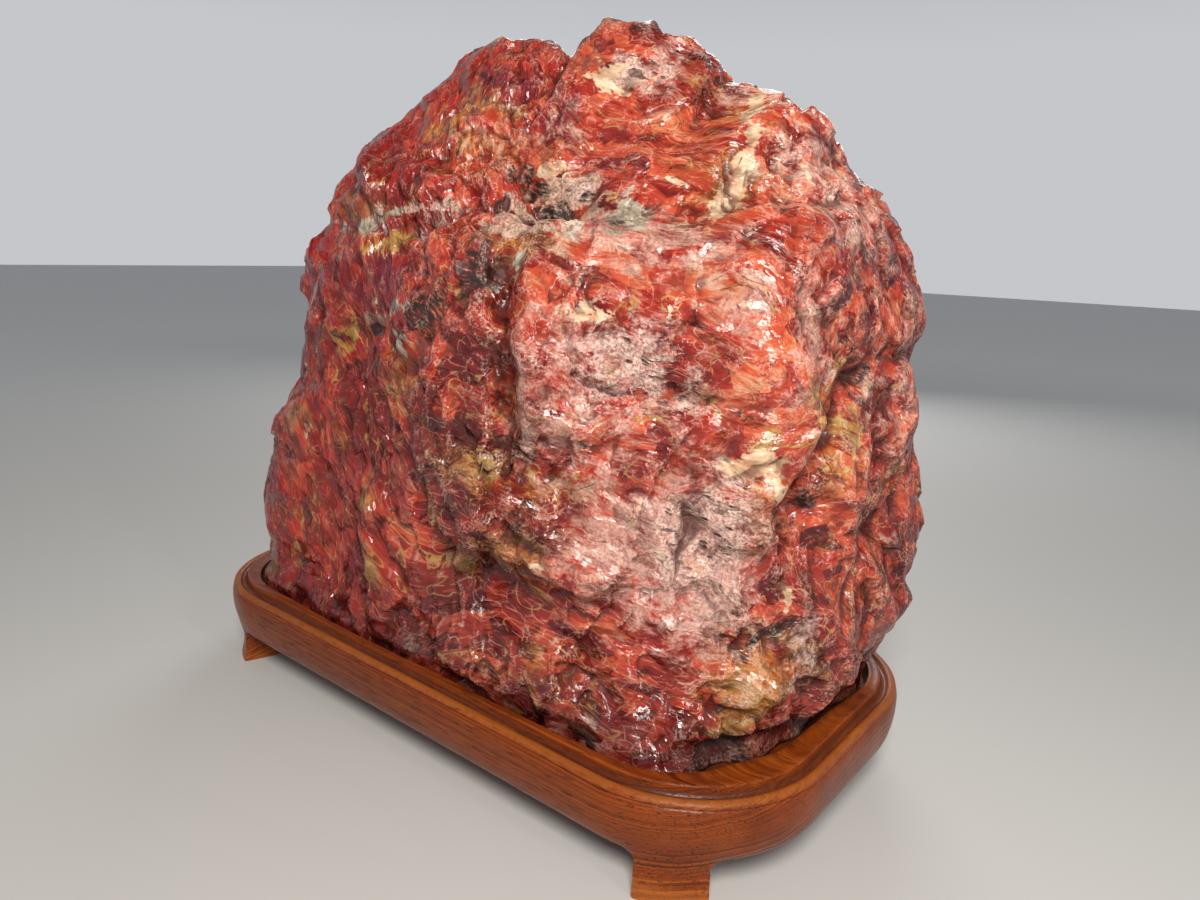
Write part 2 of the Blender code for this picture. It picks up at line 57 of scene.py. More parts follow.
# The tray, as in the solids
HALF_LENGTH = 0.201
HALF_DEPTH = 0.105
CORNER_RADIUS = 0.070
LAND_HEIGHT = 0.052
SEAT_HEIGHT = 0.043
SEAT_DRAFT = 0.0010
SEAT_CHAMFER = 0.0007
UNDERSIDE_HEIGHT = 0.020
FOOT_TURN = 60.0
FOOT_HALF_WIDTH = 0.0155
FOOT_FILLET = 0.0090
CLEAR_OF_FOOT = 1.0
# The seat follows the stone: its inset from the rim's outer line at compass angles in degrees
SEAT_LINE = (
    (-165, 19), (-151, 17), (-140, 15), (-125, 12.5), (-110, 12), (-94, 12.5), (-75, 13), (-60, 12.5),
    (-42, 13.5), (-31, 17), (-24, 21), (-18, 26), (-13, 20), (-6, 19.5), (3, 18.5), (10, 16), (20, 14.5),
    (45, 15), (75, 15.5), (100, 14), (125, 14.5), (145, 16), (165, 18),
)
SEAT_SMOOTHING = (-4.0, -2.0, 0.0, 2.0, 4.0)
FINE_CORNER_POINTS = 61  # points round the rim where its line is only measured
FINE_SIDE_POINTS = 120
FINE_END_POINTS = 60
ROUNDING = 1e-6          # metres; nearer than this is taken as touching

# The stone's broken skin. The values are the solids', but for the second wander and the broken
# flats, which are set for the finer skin here.
FLOOR_GAP = 0.0003
SEAT_GAP = 0.0008
SEAT_FLARE = 0.55
SKIN_FLARE = 0.88
FOOT_TOP = 0.0535
SPREAD_HEIGHT = 0.026
CORE = (0.005, 0.0, 0.180)
FACE_SHARPNESS = 16.0
SEAT_SHARPNESS = 60.0
TRIM = 0.003
CREASE_PROFILE = 1.5
LEDGE_SIDE_REACH = 0.6
FLAT_STEP = 0.35
LEAST_WEIGHT = 1e-12
LEAST_RISE = 1e-9
LAYER_STEP = 2.03        # how much finer each layer of noise is than the one before
LAYER_SHIFT = 17.1
FOLDS = ((0.045, 0.045, 0.075), 0.004, 3, 81)
WANDER = ((0.004, 0.035, 301), (0.0024, 0.011, 311))
# Broken flats: size along X, Y and Z, height, how strongly they level off, seed, how far their
# borders wander, over what distance, seed of the wander, crispness of the borders
LARGE_FLATS = ((0.052, 0.052, 0.066), 0.0080, 1.4, 41, 0.010, 0.050, 21, 16.0)
MIDDLE_FLATS = ((0.021, 0.021, 0.028), 0.0034, 1.5, 71, 0.003, 0.030, 61, 60.0)
SMALL_FLATS = ((0.0100, 0.0100, 0.014), 0.0017, 1.6, 131, 0.0012, 0.014, 121, 90.0)
# How ragged the skin is: size and seed of the noise, where it starts and ends, the least of it, and
# how much of it the smooth patches take away
RAGGED_SIZE = 0.042
RAGGED_SEED = 901
RAGGED_SPAN = (-0.12, 0.28)
LEAST_RAGGED = 0.15
RAGGED_CALM = 0.85
BREAK_CALM = 0.6
# Fine roughness: height, size, seed, layers
FINE_ROUGHNESS = (0.0006, 0.006, 151, 2)
# Broken steps: size along the run, across it and up, turn of the run down from +X in degrees, half
# of the step's height, its width as a share of the noise, seed
STEPS = (
    ((0.070, 0.024, 0.016), 50, 0.0011, 0.07, 601),
    ((0.060, 0.020, 0.014), -72, 0.0009, 0.07, 621),
    ((0.040, 0.018, 0.012), 18, 0.0008, 0.08, 641),
    ((0.024, 0.014, 0.008), 62, 0.0006, 0.12, 661),
)
STEP_CALM = 0.8
STEP_SHIFT = 0.003
STEP_SHIFT_SIZE = 0.02
STEP_SPOT_SIZE = 0.045
STEP_SPOT_SPAN = (-0.25, 0.25)
# The foot stays back from the seat's line by noise (height, size, seed, layers) up to some heights,
# and by undercuts (size, depth, seed) that start and end at some heights
FOOT_NOISE = (0.0022, 0.014, 701, 3)
FOOT_NOISE_END = (0.0525, 0.061)
UNDERCUTS = ((0.026, 0.0050, 711), (0.011, 0.0022, 731))
UNDERCUT_START = (0.0525, 0.0585)
UNDERCUT_END = (0.068, 0.094)
UNDERCUT_LEVEL = 0.4
UNDERCUT_CRISPNESS = 50.0
HOLLOW_CLOSING = (-0.004, 0.003)
# Hollows for the painted shade in the stone's colours: rounds of smoothing, and the depth that counts as full
NEAR_HOLLOWS = (3, 0.0006)
WIDE_HOLLOWS = (24, 0.0030)
# Heights over which the stone's painted shade near the tray fades out
LOW_SHADE = (0.052, 0.085)
LEFT_SIDE = (-0.06, 0.06)
# The lattice numbers come from mixing bits
AXIS_MIX = (0x8DA6B343, 0xD8163841, 0xCB1AB31F)
SEED_MIX = 0x9E3779B9
BIT_MIX = ((15, 0x2C1B3C6D), (12, 0x297A2D39))
LAST_SHIFT = 15
LARGEST_MIX = 0xFFFFFFFF

# The grid of the stone's skin: a box round the core, cut evenly
BOX_HALF_X = 0.190
BOX_HALF_Y = 0.095
BOX_BOTTOM = -0.137
BOX_TOP = 0.186
CUTS_X = 192
CUTS_Y = 84
CUTS_Z = 150
# Each column of the side starts on the bottom of the box, at this share of the way out to its edge,
# and turns up at the bend; a first pass over fewer rows finds where to cut it
INNER_SHARE = 0.45
BEND = 0.15
FIRST_ROWS = 50
LOW_ROWS = 5

# The stone's broken faces: compass angle and upward tilt in degrees of the way that each one faces,
# and its distance from the core
FACES = (
    ("long front", -97, 0, 91),
    ("front left turn", -122, 3, 133),
    ("near corner", -52, 2, 152),
    ("front right", -70, 0, 117),
    ("right end", 2, 0, 186),
    ("right near turn", -25, 0, 190),
    ("right back", 45, 8, 191),
    ("back", 92, 0, 91),
    ("back left", 140, 0, 158),
    ("left end", 180, 5, 188),
    ("left low", -150, -8, 184),
    ("front slope", -85, 36, 112),
    ("brow", -62, 48, 138),
    ("left shoulder", -168, 42, 186),
    ("front left slope", -125, 33, 139),
    ("right shoulder", 12, 36, 196),
    ("right crown", 15, 58, 200),
    ("back slope", 95, 38, 122),
    ("back left slope", 150, 40, 160),
    ("crown", 0, 90, 194),
)

# Lumps, and hollows where the height is below zero: centre, half-sizes, height
LUMPS = (
    ("crown left", (-32, 0, 352), (36, 60, 34), 4),
    ("crown right", (58, 0, 350), (28, 60, 34), 12),
    ("crown right corner", (30, 0, 352), (11, 50, 18), 7),
    ("left shoulder knob", (-116, -20, 308), (17, 34, 18), 15),
    ("left ear", (-98, -62, 272), (16, 26, 20), 7),
    ("left low lump", (-150, -56, 98), (46, 44, 52), 31),
    ("left low front", (-100, -88, 84), (60, 20, 40), 5),
    ("boss", (160, -62, 240), (30, 30, 22), 9),
    ("second boss", (166, -62, 212), (26, 26, 13), 6),
    ("third boss", (178, -52, 192), (22, 26, 13), 4),
    ("brow ridge", (100, -70, 258), (60, 22, 12), 6),
    ("olive block", (50, -98, 152), (26, 20, 24), 5),
    ("middle low swell", (112, -92, 148), (34, 26, 26), 6),
    ("right rib", (193, -10, 150), (20, 13, 60), 7),
    ("right end upper", (188, 45, 228), (26, 24, 18), 3),
    ("right end middle", (192, 50, 186), (26, 30, 20), 8),
    ("right end low", (188, 62, 112), (32, 40, 34), 14),
    ("near foot block", (172, -56, 84), (22, 22, 24), 9),
    ("vein shoulder", (130, 0, 312), (22, 44, 26), 6),
    ("right shoulder corner", (140, 14, 308), (20, 44, 15), 7),
    ("upper left swell", (-60, -60, 290), (40, 34, 26), 5),
    ("back lump", (50, 92, 260), (50, 30, 40), 8),
    ("back low lump", (-90, 88, 110), (50, 30, 40), 8),
    ("vug", (58, -62, 284), (26, 30, 17), -15),
    ("dusty dish", (125, -86, 212), (26, 30, 26), -7),
    ("low dusty dish", (152, -74, 152), (20, 26, 22), -6),
    ("low hollow", (62, -102, 104), (30, 24, 20), -15),
    ("quartz hollow", (196, 38, 138), (9, 12, 9), -6),
    ("right valley head", (184, -20, 262), (26, 24, 26), -4),
    ("crown saddle", (14, 0, 358), (12, 50, 22), -4),
    ("crown right dip", (96, 0, 345), (16, 50, 24), -9),
    ("back hollow", (-30, 95, 200), (60, 30, 50), -9),
    ("back right dent", (120, 90, 120), (44, 30, 40), -7),
    ("left end dent", (-182, 20, 210), (30, 40, 30), -9),
)

# Small forms that the solids leave out: the vug's holes, its bead of chalcedony and small chips
SMALL_LUMPS = (
    ("vug hole high", (35, -51, 295), (4, 11, 3.5), -10),
    ("vug hole left", (42, -50, 291), (5, 11, 2.5), -9),
    ("vug hole middle", (56, -55, 287), (8, 11, 2.5), -11),
    ("vug hole low", (66, -58, 283), (6, 11, 3), -12),
    ("vug hole right", (75, -57, 286), (5, 11, 2.5), -9),
    ("vug side hole", (31, -59, 284), (4, 11, 6), -7),
    ("low hollow deeper", (62, -98, 96), (24, 22, 13), -12),
    ("low hollow end", (90, -96, 90), (16, 20, 10), -8),
    ("right valley deeper", (186, -36, 160), (6, 10, 26), -6),
    ("boss swell", (160, -60, 213), (26, 26, 15), 8),
    ("middle low bulge", (120, -88, 122), (28, 24, 20), 6),
    ("vug bead", (48, -47, 298), (5, 9, 3.5), 6),
    ("vug shelf", (64, -66, 266), (24, 16, 4), 4),
    ("chip on the boss", (176, -56, 244), (7, 7, 6), -2),
    ("step notch", (58, -80, 246), (5, 8, 9), -4),
    ("brow lip", (108, -88, 232), (14, 10, 3), 3),
    ("pit under the brow", (122, -88, 226), (5, 6, 3), -4),
    ("low lip", (150, -70, 128), (12, 10, 5), 3),
    ("low dish fill", (143, -76, 150), (8, 16, 11), 4),
    ("foot knob", (176, -51, 90), (11, 11, 10), 6),
    ("foot knob low", (170, -55, 66), (11, 11, 8), 5),
    ("right foot knob", (188, -38, 76), (9, 9, 9), 5),
)

# Creases and cracks: from, to, half-width, depth
GROOVES = (
    ("crown notch", (15, 40, 372), (15, -40, 335), 6, 9),
    ("band left", (-95, -62, 262), (-10, -76, 270), 7, 6),
    ("band right", (-10, -76, 270), (40, -66, 278), 6, 5),
    ("lip slit", (-24, -96, 222), (-6, -97, 214), 4, 5),
    ("left diagonal", (-20, -96, 215), (22, -100, 186), 7, 5),
    ("long valley top", (-36, -92, 178), (6, -99, 142), 8, 9),
    ("long valley middle", (6, -99, 142), (18, -100, 118), 10, 12),
    ("long valley foot", (18, -100, 118), (30, -97, 66), 9, 8),
    ("brow slit", (100, -92, 206), (122, -88, 203), 3, 4),
    ("boss slit", (150, -76, 206), (170, -60, 203), 4, 6),
    ("slant crease", (88, -102, 172), (136, -86, 140), 7, 6),
    ("slant crease low", (136, -86, 140), (160, -72, 118), 6, 4),
    ("right crack", (190, 54, 219), (190, 2, 213), 6, 10),
    ("right crack low", (190, 2, 213), (192, -22, 206), 5, 7),
    ("right valley", (193, -14, 204), (186, -44, 160), 8, 9),
    ("right valley low", (186, -44, 160), (188, -40, 84), 7, 7),
    ("right groove", (194, 14, 200), (196, 20, 90), 8, 6),
    ("hole", (183, -48, 164), (188, -38, 164), 4, 7),
    ("foot crack", (184, -50, 104), (166, -66, 66), 4, 7),
    ("foot crack top", (178, -56, 108), (186, -46, 112), 3, 5),
    ("left fold one", (-62, -90, 226), (-50, -92, 90), 8, 4),
    ("left fold two", (-96, -84, 236), (-84, -88, 100), 8, 5),
    ("left fold three", (-22, -96, 160), (-14, -96, 70), 7, 4),
    ("step fold", (56, -84, 250), (70, -102, 180), 6, 6),
    ("back crease", (-140, 70, 280), (-20, 95, 140), 9, 8),
    ("back crease high", (40, 95, 180), (150, 80, 240), 8, 7),
    ("left end crease", (-186, -20, 250), (-190, 40, 120), 9, 8),
)

# Finer cracks that the solids leave out
FINE_GROOVES = (
    ("brow crack", (98, -90, 207), (126, -79, 203), 1.6, 4),
    ("boss crack", (146, -71, 206), (168, -56, 198), 1.6, 4),
    ("second boss crack", (160, -70, 190), (184, -46, 194), 2.5, 3),
    ("band crack", (-12, -76, 262), (6, -82, 246), 2.5, 4),
    ("step crack", (62, -86, 240), (74, -100, 196), 3, 4),
    ("lip crack", (-54, -88, 225), (-34, -88, 216), 3, 6),
    ("slant crack", (110, -96, 160), (150, -78, 118), 2.5, 3),
    ("strip crack", (150, -74, 178), (182, -48, 186), 2.5, 3),
    ("foot crack", (172, -55, 104), (158, -66, 60), 2.5, 7),
    ("foot crack across", (172, -58, 98), (186, -44, 92), 2.5, 3),
    ("hollow crack", (52, -102, 98), (78, -102, 112), 3, 3),
    ("low left crack", (-66, -90, 130), (-40, -94, 92), 2.5, 3),
    ("left crack", (-104, -80, 210), (-80, -88, 160), 2.5, 3),
    ("left crack low", (-118, -84, 150), (-96, -92, 104), 2.5, 3),
    ("crest crack", (70, -20, 336), (96, -44, 300), 2.5, 3),
    ("shoulder crack", (150, -6, 296), (176, -24, 250), 2.5, 3),
    ("back crack", (-60, 92, 250), (10, 98, 190), 3, 4),
    ("back crack low", (60, 98, 150), (120, 90, 90), 3, 4),
    ("end crack", (-188, 10, 180), (-180, 40, 110), 3, 4),
)

# Ledges: from, to, the way to the proud side, height, reach, width of the step
LEDGES = (
    ("step edge", (62, -80, 262), (74, -100, 214), (1, 0, 0.1), 7, 34, 3),
    ("step edge low", (74, -100, 214), (86, -102, 170), (1, 0, 0.1), 7, 30, 3),
    ("band overhang", (-90, -66, 268), (38, -66, 282), (0, 0, 1), 5, 26, 3),
    ("olive ledge", (24, -100, 166), (80, -104, 160), (0, 0, -1), 6, 24, 3),
    ("hollow lip", (40, -102, 126), (106, -98, 116), (0, 0, 1), 8, 26, 3),
    ("left step", (-146, -62, 170), (-120, -76, 160), (0, 0, -1), 6, 30, 4),
    ("brow edge", (90, -78, 244), (160, -58, 252), (0, 0, 1), 4, 20, 3),
    ("near corner edge", (128, -88, 200), (140, -86, 80), (1, 0, 0), 4, 24, 4),
    ("crown right drop", (92, 30, 350), (96, -40, 320), (-1, 0, 0), 7, 26, 3),
)

# Hollows under the stone's foot: compass angle, half-width in degrees, depth and height in millimetres
FOOT_HOLLOWS = (
    (-19, 7, 9, 8),
    (-8, 5, 6, 7),
    (6, 8, 6, 8),
    (-32, 4, 4, 3),
    (-42, 5, 4, 4),
    (-66, 7, 4, 3),
    (-104, 6, 3, 3),
    (-140, 8, 5, 4),
    (40, 10, 4, 4),
    (95, 12, 5, 4),
    (150, 10, 4, 4),
)

# Patches of other minerals and finishes on the stone, and of painted shade, by kind: centre, half-sizes,
# strength
PATCHES = {
    "dust": (
        (128, -86, 216, 27, 24, 26, 1.0), (158, -72, 146, 27, 24, 27, 1.0),
        (146, -80, 184, 18, 20, 20, 0.6), (84, -101, 178, 15, 12, 16, 0.65),
        (123, -91, 76, 24, 18, 14, 0.45), (60, -40, 336, 40, 30, 12, 0.45),
        (172, -2, 288, 22, 34, 32, 0.55), (192, 20, 246, 16, 24, 24, 0.5), (10, -96, 84, 10, 12, 34, 0.45),
        (188, -36, 100, 12, 16, 34, 0.55), (-30, 95, 200, 60, 30, 50, 0.7), (120, 90, 120, 44, 30, 30, 0.6),
        (-182, 20, 210, 30, 30, 30, 0.55), (-120, 70, 300, 30, 30, 20, 0.5),
    ),
    "cream": (
        (57, -12, 333, 15, 14, 10, 0.9), (171, -61, 180, 23, 18, 7, 1.0), (162, -66, 74, 12, 12, 8, 0.45),
        (178, -54, 92, 12, 12, 10, 0.25), (36, -14, 330, 12, 14, 5, 0.6), (186, -40, 74, 10, 12, 8, 0.4),
        (70, 90, 240, 30, 20, 8, 0.7), (-120, 80, 150, 22, 20, 12, 0.7), (110, -86, 233, 22, 12, 4, 0.8),
        (45, -43, 291, 7, 9, 4, 1.2),
    ),
    "olive": (
        (60, -102, 171, 24, 12, 12, 0.85), (191, -24, 200, 12, 26, 32, 0.9),
        (176, -56, 186, 20, 16, 12, 0.6), (-56, -90, 236, 9, 10, 22, 0.7), (-70, -90, 196, 12, 10, 14, 0.6),
        (139, -84, 138, 14, 12, 10, 0.5), (-26, -80, 258, 20, 12, 8, 0.75), (170, -62, 66, 16, 14, 10, 0.6),
        (-100, 84, 210, 30, 20, 24, 0.7), (150, 70, 200, 24, 30, 30, 0.7),
    ),
    "grey": (
        (100, -57, 272, 15, 12, 13, 1.0), (80, -64, 262, 16, 12, 5, 0.8), (-5, -92, 228, 14, 10, 8, 0.7),
        (-45, -90, 226, 8, 8, 12, 0.7), (186, -40, 176, 8, 14, 14, 0.5), (-40, 92, 230, 26, 20, 16, 0.7),
    ),
    "beige": (
        (58, -60, 278, 24, 26, 14, 1.15), (62, -66, 266, 28, 20, 7, 1.0), (-60, -74, 264, 44, 16, 5, 0.6),
        (10, -72, 273, 50, 16, 4, 0.6), (-40, -80, 219, 13, 10, 4, 1.0), (170, -62, 78, 18, 16, 14, 0.45),
        (186, -42, 84, 14, 16, 20, 0.4), (195, 38, 136, 8, 14, 10, 1.0), (110, -84, 234, 22, 14, 5, 0.6),
        (20, 95, 150, 60, 20, 8, 0.8),
    ),
    # Dark stains, and painted shade in the vug's holes, in the hole on the right end and under the foot's
    # knobs
    "dark": (
        (33, -49, 289, 5, 10, 5, 1.5), (39, -46, 283, 6, 10, 2.5, 1.4), (50, -47, 274, 9, 10, 2.5, 1.7),
        (58, -48, 270, 6, 10, 3, 1.6), (67, -48, 277, 6, 10, 2.5, 1.3), (31, -56, 276, 4, 10, 5, 1.2),
        (52, -50, 280, 24, 20, 11, 0.42), (-50, -72, 266, 60, 16, 8, 0.4), (44, -88, 246, 16, 14, 26, 0.85),
        (20, -90, 228, 18, 12, 12, 0.9), (-37, -79, 214, 9, 9, 3, 1.2), (177, -31, 160, 5, 8, 8, 1.2),
        (159, -54, 50, 15, 14, 8, 1.6), (96, -58, 266, 9, 8, 6, 0.7), (-70, 90, 180, 16, 20, 24, 0.7),
        (108, -84, 236, 9, 8, 3, 0.9),
    ),
    "bright": (
        (164, -60, 238, 24, 22, 20, 1.0), (168, -62, 210, 22, 20, 13, 0.9),
        (120, -92, 150, 26, 18, 22, 1.0), (96, -34, 308, 30, 30, 24, 0.8),
        (102, -66, 252, 34, 20, 14, 0.75), (-100, -84, 84, 44, 20, 24, 0.6),
        (160, -76, 100, 16, 16, 14, 0.6), (196, -10, 160, 10, 16, 40, 0.25),
        (178, -50, 192, 12, 14, 9, 0.7), (0, 90, 300, 60, 30, 30, 0.6), (90, 95, 180, 40, 20, 40, 0.6),
    ),
    "purple": (
        (-25, -89, 242, 28, 16, 22, 1.0), (-10, -30, 334, 34, 34, 20, 0.8),
        (66, -102, 104, 28, 16, 20, 0.7), (-92, -76, 240, 24, 20, 30, 0.6), (116, -92, 60, 30, 18, 8, 0.6),
        (172, 10, 262, 20, 30, 24, 0.5), (20, -98, 150, 14, 12, 40, 0.5), (-150, 40, 280, 40, 30, 30, 0.7),
        (-160, 0, 120, 30, 50, 40, 0.6),
    ),
    # Painted shade in the valleys, the low hollow, the left low lump and the other hollows
    "deep": (
        (10, -98, 165, 16, 14, 46, 0.9), (20, -97, 90, 15, 12, 40, 0.8), (68, -102, 100, 36, 18, 24, 1.5),
        (-40, -90, 180, 44, 20, 60, 0.55), (-60, -90, 80, 70, 20, 34, 0.45),
        (-90, -84, 230, 40, 20, 50, 0.45), (188, -40, 130, 7, 12, 56, 0.7), (50, -98, 62, 70, 14, 12, 0.9),
        (126, -86, 72, 40, 16, 16, 0.6), (150, -70, 57, 60, 24, 6, 0.6), (-150, -50, 100, 40, 40, 60, 0.6),
        (45, -88, 243, 16, 14, 30, 0.4), (188, 30, 90, 20, 50, 40, 0.5),
    ),
    "haze": (
        (166, 4, 289, 40, 40, 40, 0.8), (60, -20, 334, 60, 40, 14, 0.3), (110, -94, 196, 44, 20, 50, 0.8),
        (150, -68, 140, 44, 26, 42, 1.25), (195, 20, 210, 14, 50, 50, 0.6), (2, -96, 110, 10, 12, 50, 0.6),
        (130, -86, 80, 40, 16, 20, 0.35), (80, -101, 180, 16, 12, 26, 0.9), (0, -50, 310, 60, 50, 30, 0.6),
        (108, -62, 262, 54, 22, 18, 1.0), (118, -88, 148, 36, 22, 36, 1.1),
        (182, -40, 224, 12, 18, 36, 0.7), (158, -62, 232, 22, 20, 20, 0.35),
    ),
    "ochre": (
        (60, -72, 258, 60, 14, 10, 0.8), (30, -55, 302, 60, 16, 12, 0.7), (-60, -88, 206, 40, 12, 34, 0.5),
        (60, -102, 166, 34, 12, 16, 0.8), (190, -30, 190, 12, 26, 44, 0.8),
        (174, -56, 160, 14, 14, 34, 0.7), (22, -98, 132, 14, 12, 26, 0.5), (134, -30, 290, 24, 26, 26, 0.7),
        (120, 0, 320, 26, 30, 16, 0.6), (110, -90, 72, 60, 14, 16, 0.5), (176, -56, 84, 24, 18, 24, 1.2),
        (-50, -70, 272, 44, 20, 14, 0.7), (112, -90, 160, 26, 14, 12, 0.7), (150, -64, 250, 40, 16, 8, 0.5),
        (-20, -92, 190, 14, 14, 60, 0.5), (-110, -70, 120, 24, 30, 40, 0.4),
        (196, 10, 150, 10, 30, 60, 0.6), (40, 92, 200, 60, 20, 50, 0.5),
    ),
    "smooth": (
        (160, -62, 236, 22, 22, 20, 1.0), (168, -60, 210, 18, 18, 11, 0.9),
        (108, -66, 254, 46, 22, 14, 0.85), (122, -78, 214, 26, 22, 24, 0.7),
        (118, -88, 150, 26, 20, 22, 0.8), (152, -66, 140, 22, 20, 22, 0.6), (98, -34, 306, 34, 26, 20, 0.6),
        (60, -16, 336, 30, 30, 12, 0.5), (140, -70, 100, 26, 20, 22, 0.5),
    ),
}

# Veins and bands that cross the stone, by kind: half-width, strength, the places that they run through
VEINS = {
    "cream": (
        (5, 1.0, (118, 12, 326), (123, 2, 319), (131, -15, 303), (132, -22, 292), (130, -29, 282),
         (136, -44, 272)),
        (7, 0.9, (132, -22, 292), (134, -38, 277)),
        (3, 0.9, (171, -54, 182), (176, -50, 168), (178, -44, 145), (178, -37, 120)),
        (3, 0.8, (178, -37, 120), (178, -44, 108), (170, -54, 104)),
        (4, 0.7, (5, -98, 112), (3, -96, 84), (5, -95, 60)),
        (3, 0.6, (-92, -86, 126), (-62, -90, 118), (-30, -94, 108)),
        (3, 0.7, (-40, -92, 206), (-20, -96, 216), (2, -98, 204)),
        (3, 0.6, (150, -6, 300), (172, -4, 268), (184, -10, 238)),
        (3, 0.6, (96, -46, 296), (118, -40, 288), (134, -44, 272)),
        (1.4, 0.75, (62, -66, 258), (84, -68, 254), (112, -66, 248), (140, -60, 250), (168, -50, 244)),
        (1.2, 0.7, (96, -60, 268), (118, -64, 256), (132, -68, 238), (138, -70, 216), (146, -68, 200)),
        (1.2, 0.6, (150, -62, 226), (164, -60, 218), (176, -52, 206), (182, -44, 190)),
        (4, 0.7, (-60, 90, 280), (-20, 96, 220), (40, 97, 190), (110, 90, 150)),
        (4, 0.7, (-186, -30, 200), (-184, 10, 160), (-176, 40, 100)),
    ),
    "olive": (
        (3, 0.9, (-60, -64, 280), (-20, -64, 288), (20, -62, 296), (44, -58, 302), (70, -52, 298),
         (84, -56, 284), (100, -54, 284), (116, -50, 290)),
        (3, 0.8, (196, -6, 214), (192, -24, 186), (186, -42, 168)),
        (3, 0.7, (40, -100, 166), (66, -103, 162), (98, -98, 166)),
        (4, 0.6, (-40, -92, 222), (-66, -88, 190), (-84, -86, 150)),
    ),
    "grey": (
        (4, 0.8, (112, -62, 266), (84, -72, 256), (62, -78, 250)),
        (4, 0.8, (-96, -60, 262), (-60, -72, 264), (-20, -76, 270)),
    ),
    "beige": (
        (4, 0.7, (-96, -60, 264), (-78, -72, 265), (-10, -74, 272), (40, -66, 278)),
        (4, 0.7, (120, 95, 220), (40, 97, 240), (-50, 92, 236)),
    ),
    "dark": (
        (1.8, 0.8, (98, -86, 206), (111, -79, 202), (124, -72, 203)),
        (1.8, 0.7, (147, -66, 205), (158, -63, 201), (169, -59, 201)),
        (3, 1.0, (180, -37, 112), (169, -55, 105), (166, -58, 84), (154, -64, 60)),
        (4, 1.0, (184, 40, 216), (178, 10, 212), (176, -4, 208), (178, -31, 165)),
        (3, 0.9, (54, -80, 252), (66, -92, 232), (77, -99, 210), (78, -98, 190)),
    ),
}
PATCH_WANDER = ((0.003, 0.022, 401), (0.0015, 0.007, 411))
# The kinds that the mesh holds together, four to a name
PATCH_CHANNELS = {
    "mineral": ("cream", "olive", "grey", "beige"),
    "finish": ("dust", "dark", "bright", "purple"),
    "tint": ("deep", "ochre", "haze", "smooth"),
}
# Chance patches of each kind all over the stone: size, the noise above which they start, seed, strength
CHANCE = {
    "cream": (0.026, 0.46, 501, 0.5),
    "olive": (0.030, 0.38, 511, 0.5),
    "grey": (0.024, 0.54, 521, 0.6),
    "beige": (0.030, 0.52, 531, 0.6),
    "dust": (0.034, 0.36, 541, 0.6),
    "dark": (0.020, 0.50, 551, 0.7),
    "bright": (0.040, 0.18, 561, 0.6),
    "purple": (0.044, 0.24, 571, 0.6),
    # Darker red at random, carried in the same channel as the painted shade
    "deep": (0.050, 0.26, 581, 0.6),
    "ochre": (0.040, 0.24, 591, 0.6),
    "haze": (0.050, 0.20, 671, 0.6),
    "smooth": (0.050, 0.40, 681, 0.6),
}
CHANCE_SLOPE = 0.25

# The wood's mouldings in section, from the seat's edge outwards and down: inset from the rim's
# outer line and height, in runs that meet at crisp edges, and how many cuts each run has
LAND_EDGE_RUN = ((9.6, 52.0), (9.25, 51.75), (9.1, 51.1))
COVE_RUN = ((9.1, 51.1), (8.7, 49.2), (7.6, 47.6), (6.3, 47.3), (5.5, 48.1))
BEAD_RUN = ((5.5, 48.1), (4.9, 49.1), (3.7, 49.6), (2.3, 49.2), (1.2, 48.1), (0.9, 47.0))
QUIRK_RUN = ((0.9, 47.0), (1.25, 46.6), (0.75, 46.2))
WALL_RUN = ((0.75, 46.2), (0.25, 44.5), (0.0, 41.0), (0.15, 37.0), (0.4, 34.0))
PLAIN_RUN = (
    (0.4, 34.0), (1.9, 27.0), (3.5, 23.2), (5.0, 21.2), (7.0, 20.0), (24.0, 20.0), (26.0, 20.0), (31.0, 20.0),
)
FOOT_RUN = (
    (0.4, 34.0), (2.4, 25.5), (5.0, 13.0), (3.8, 4.0), (3.0, 0.0), (25.0, 0.0), (26.5, 10.0), (31.0, 20.0),
)
PLAIN_CUTS = (5, 5, 5, 4, 4, 2, 5)
# Each moulding with its cuts, how worn it is at its edges and in its middle, and how dark it is painted for
# dirt and painted shade
MOULDINGS = (
    (LAND_EDGE_RUN, (2, 2), (0.9, 0.3), 0.0),
    (COVE_RUN, (3, 3, 3, 2), (0.0, 0.0), 0.9),
    (BEAD_RUN, (3, 4, 4, 3, 3), (0.5, 1.0), 0.0),
    (QUIRK_RUN, (2, 2), (0.0, 0.0), 1.0),
    (WALL_RUN, (4, 3, 3, 3), (0.2, 0.0), 0.0),
)
RIM_TURN_STEP = 3.0
CUTS_ALONG_SIDE = 150
CUTS_ALONG_END = 44
SOLE_ROUNDING = 0.0012
SOLE_CUTS = 9
ROUNDING_CUTS = 6
FILLET_CUTS = 15
FOOT_SPREAD = 0.08
FOOT_SPREAD_SPAN = (4.0, 13.0)
TOE_WEAR_SPAN = (3.0, 14.0)
FOOT_SIDE_FADE = 0.001
LAND_DIP = 0.00035
SHARP_ANGLE = 55.0
# Unevenness of the carved sides: height, size, seed, and the height above which it starts
CARVING = (0.00012, 0.018, 801)
CARVING_START = 0.0005

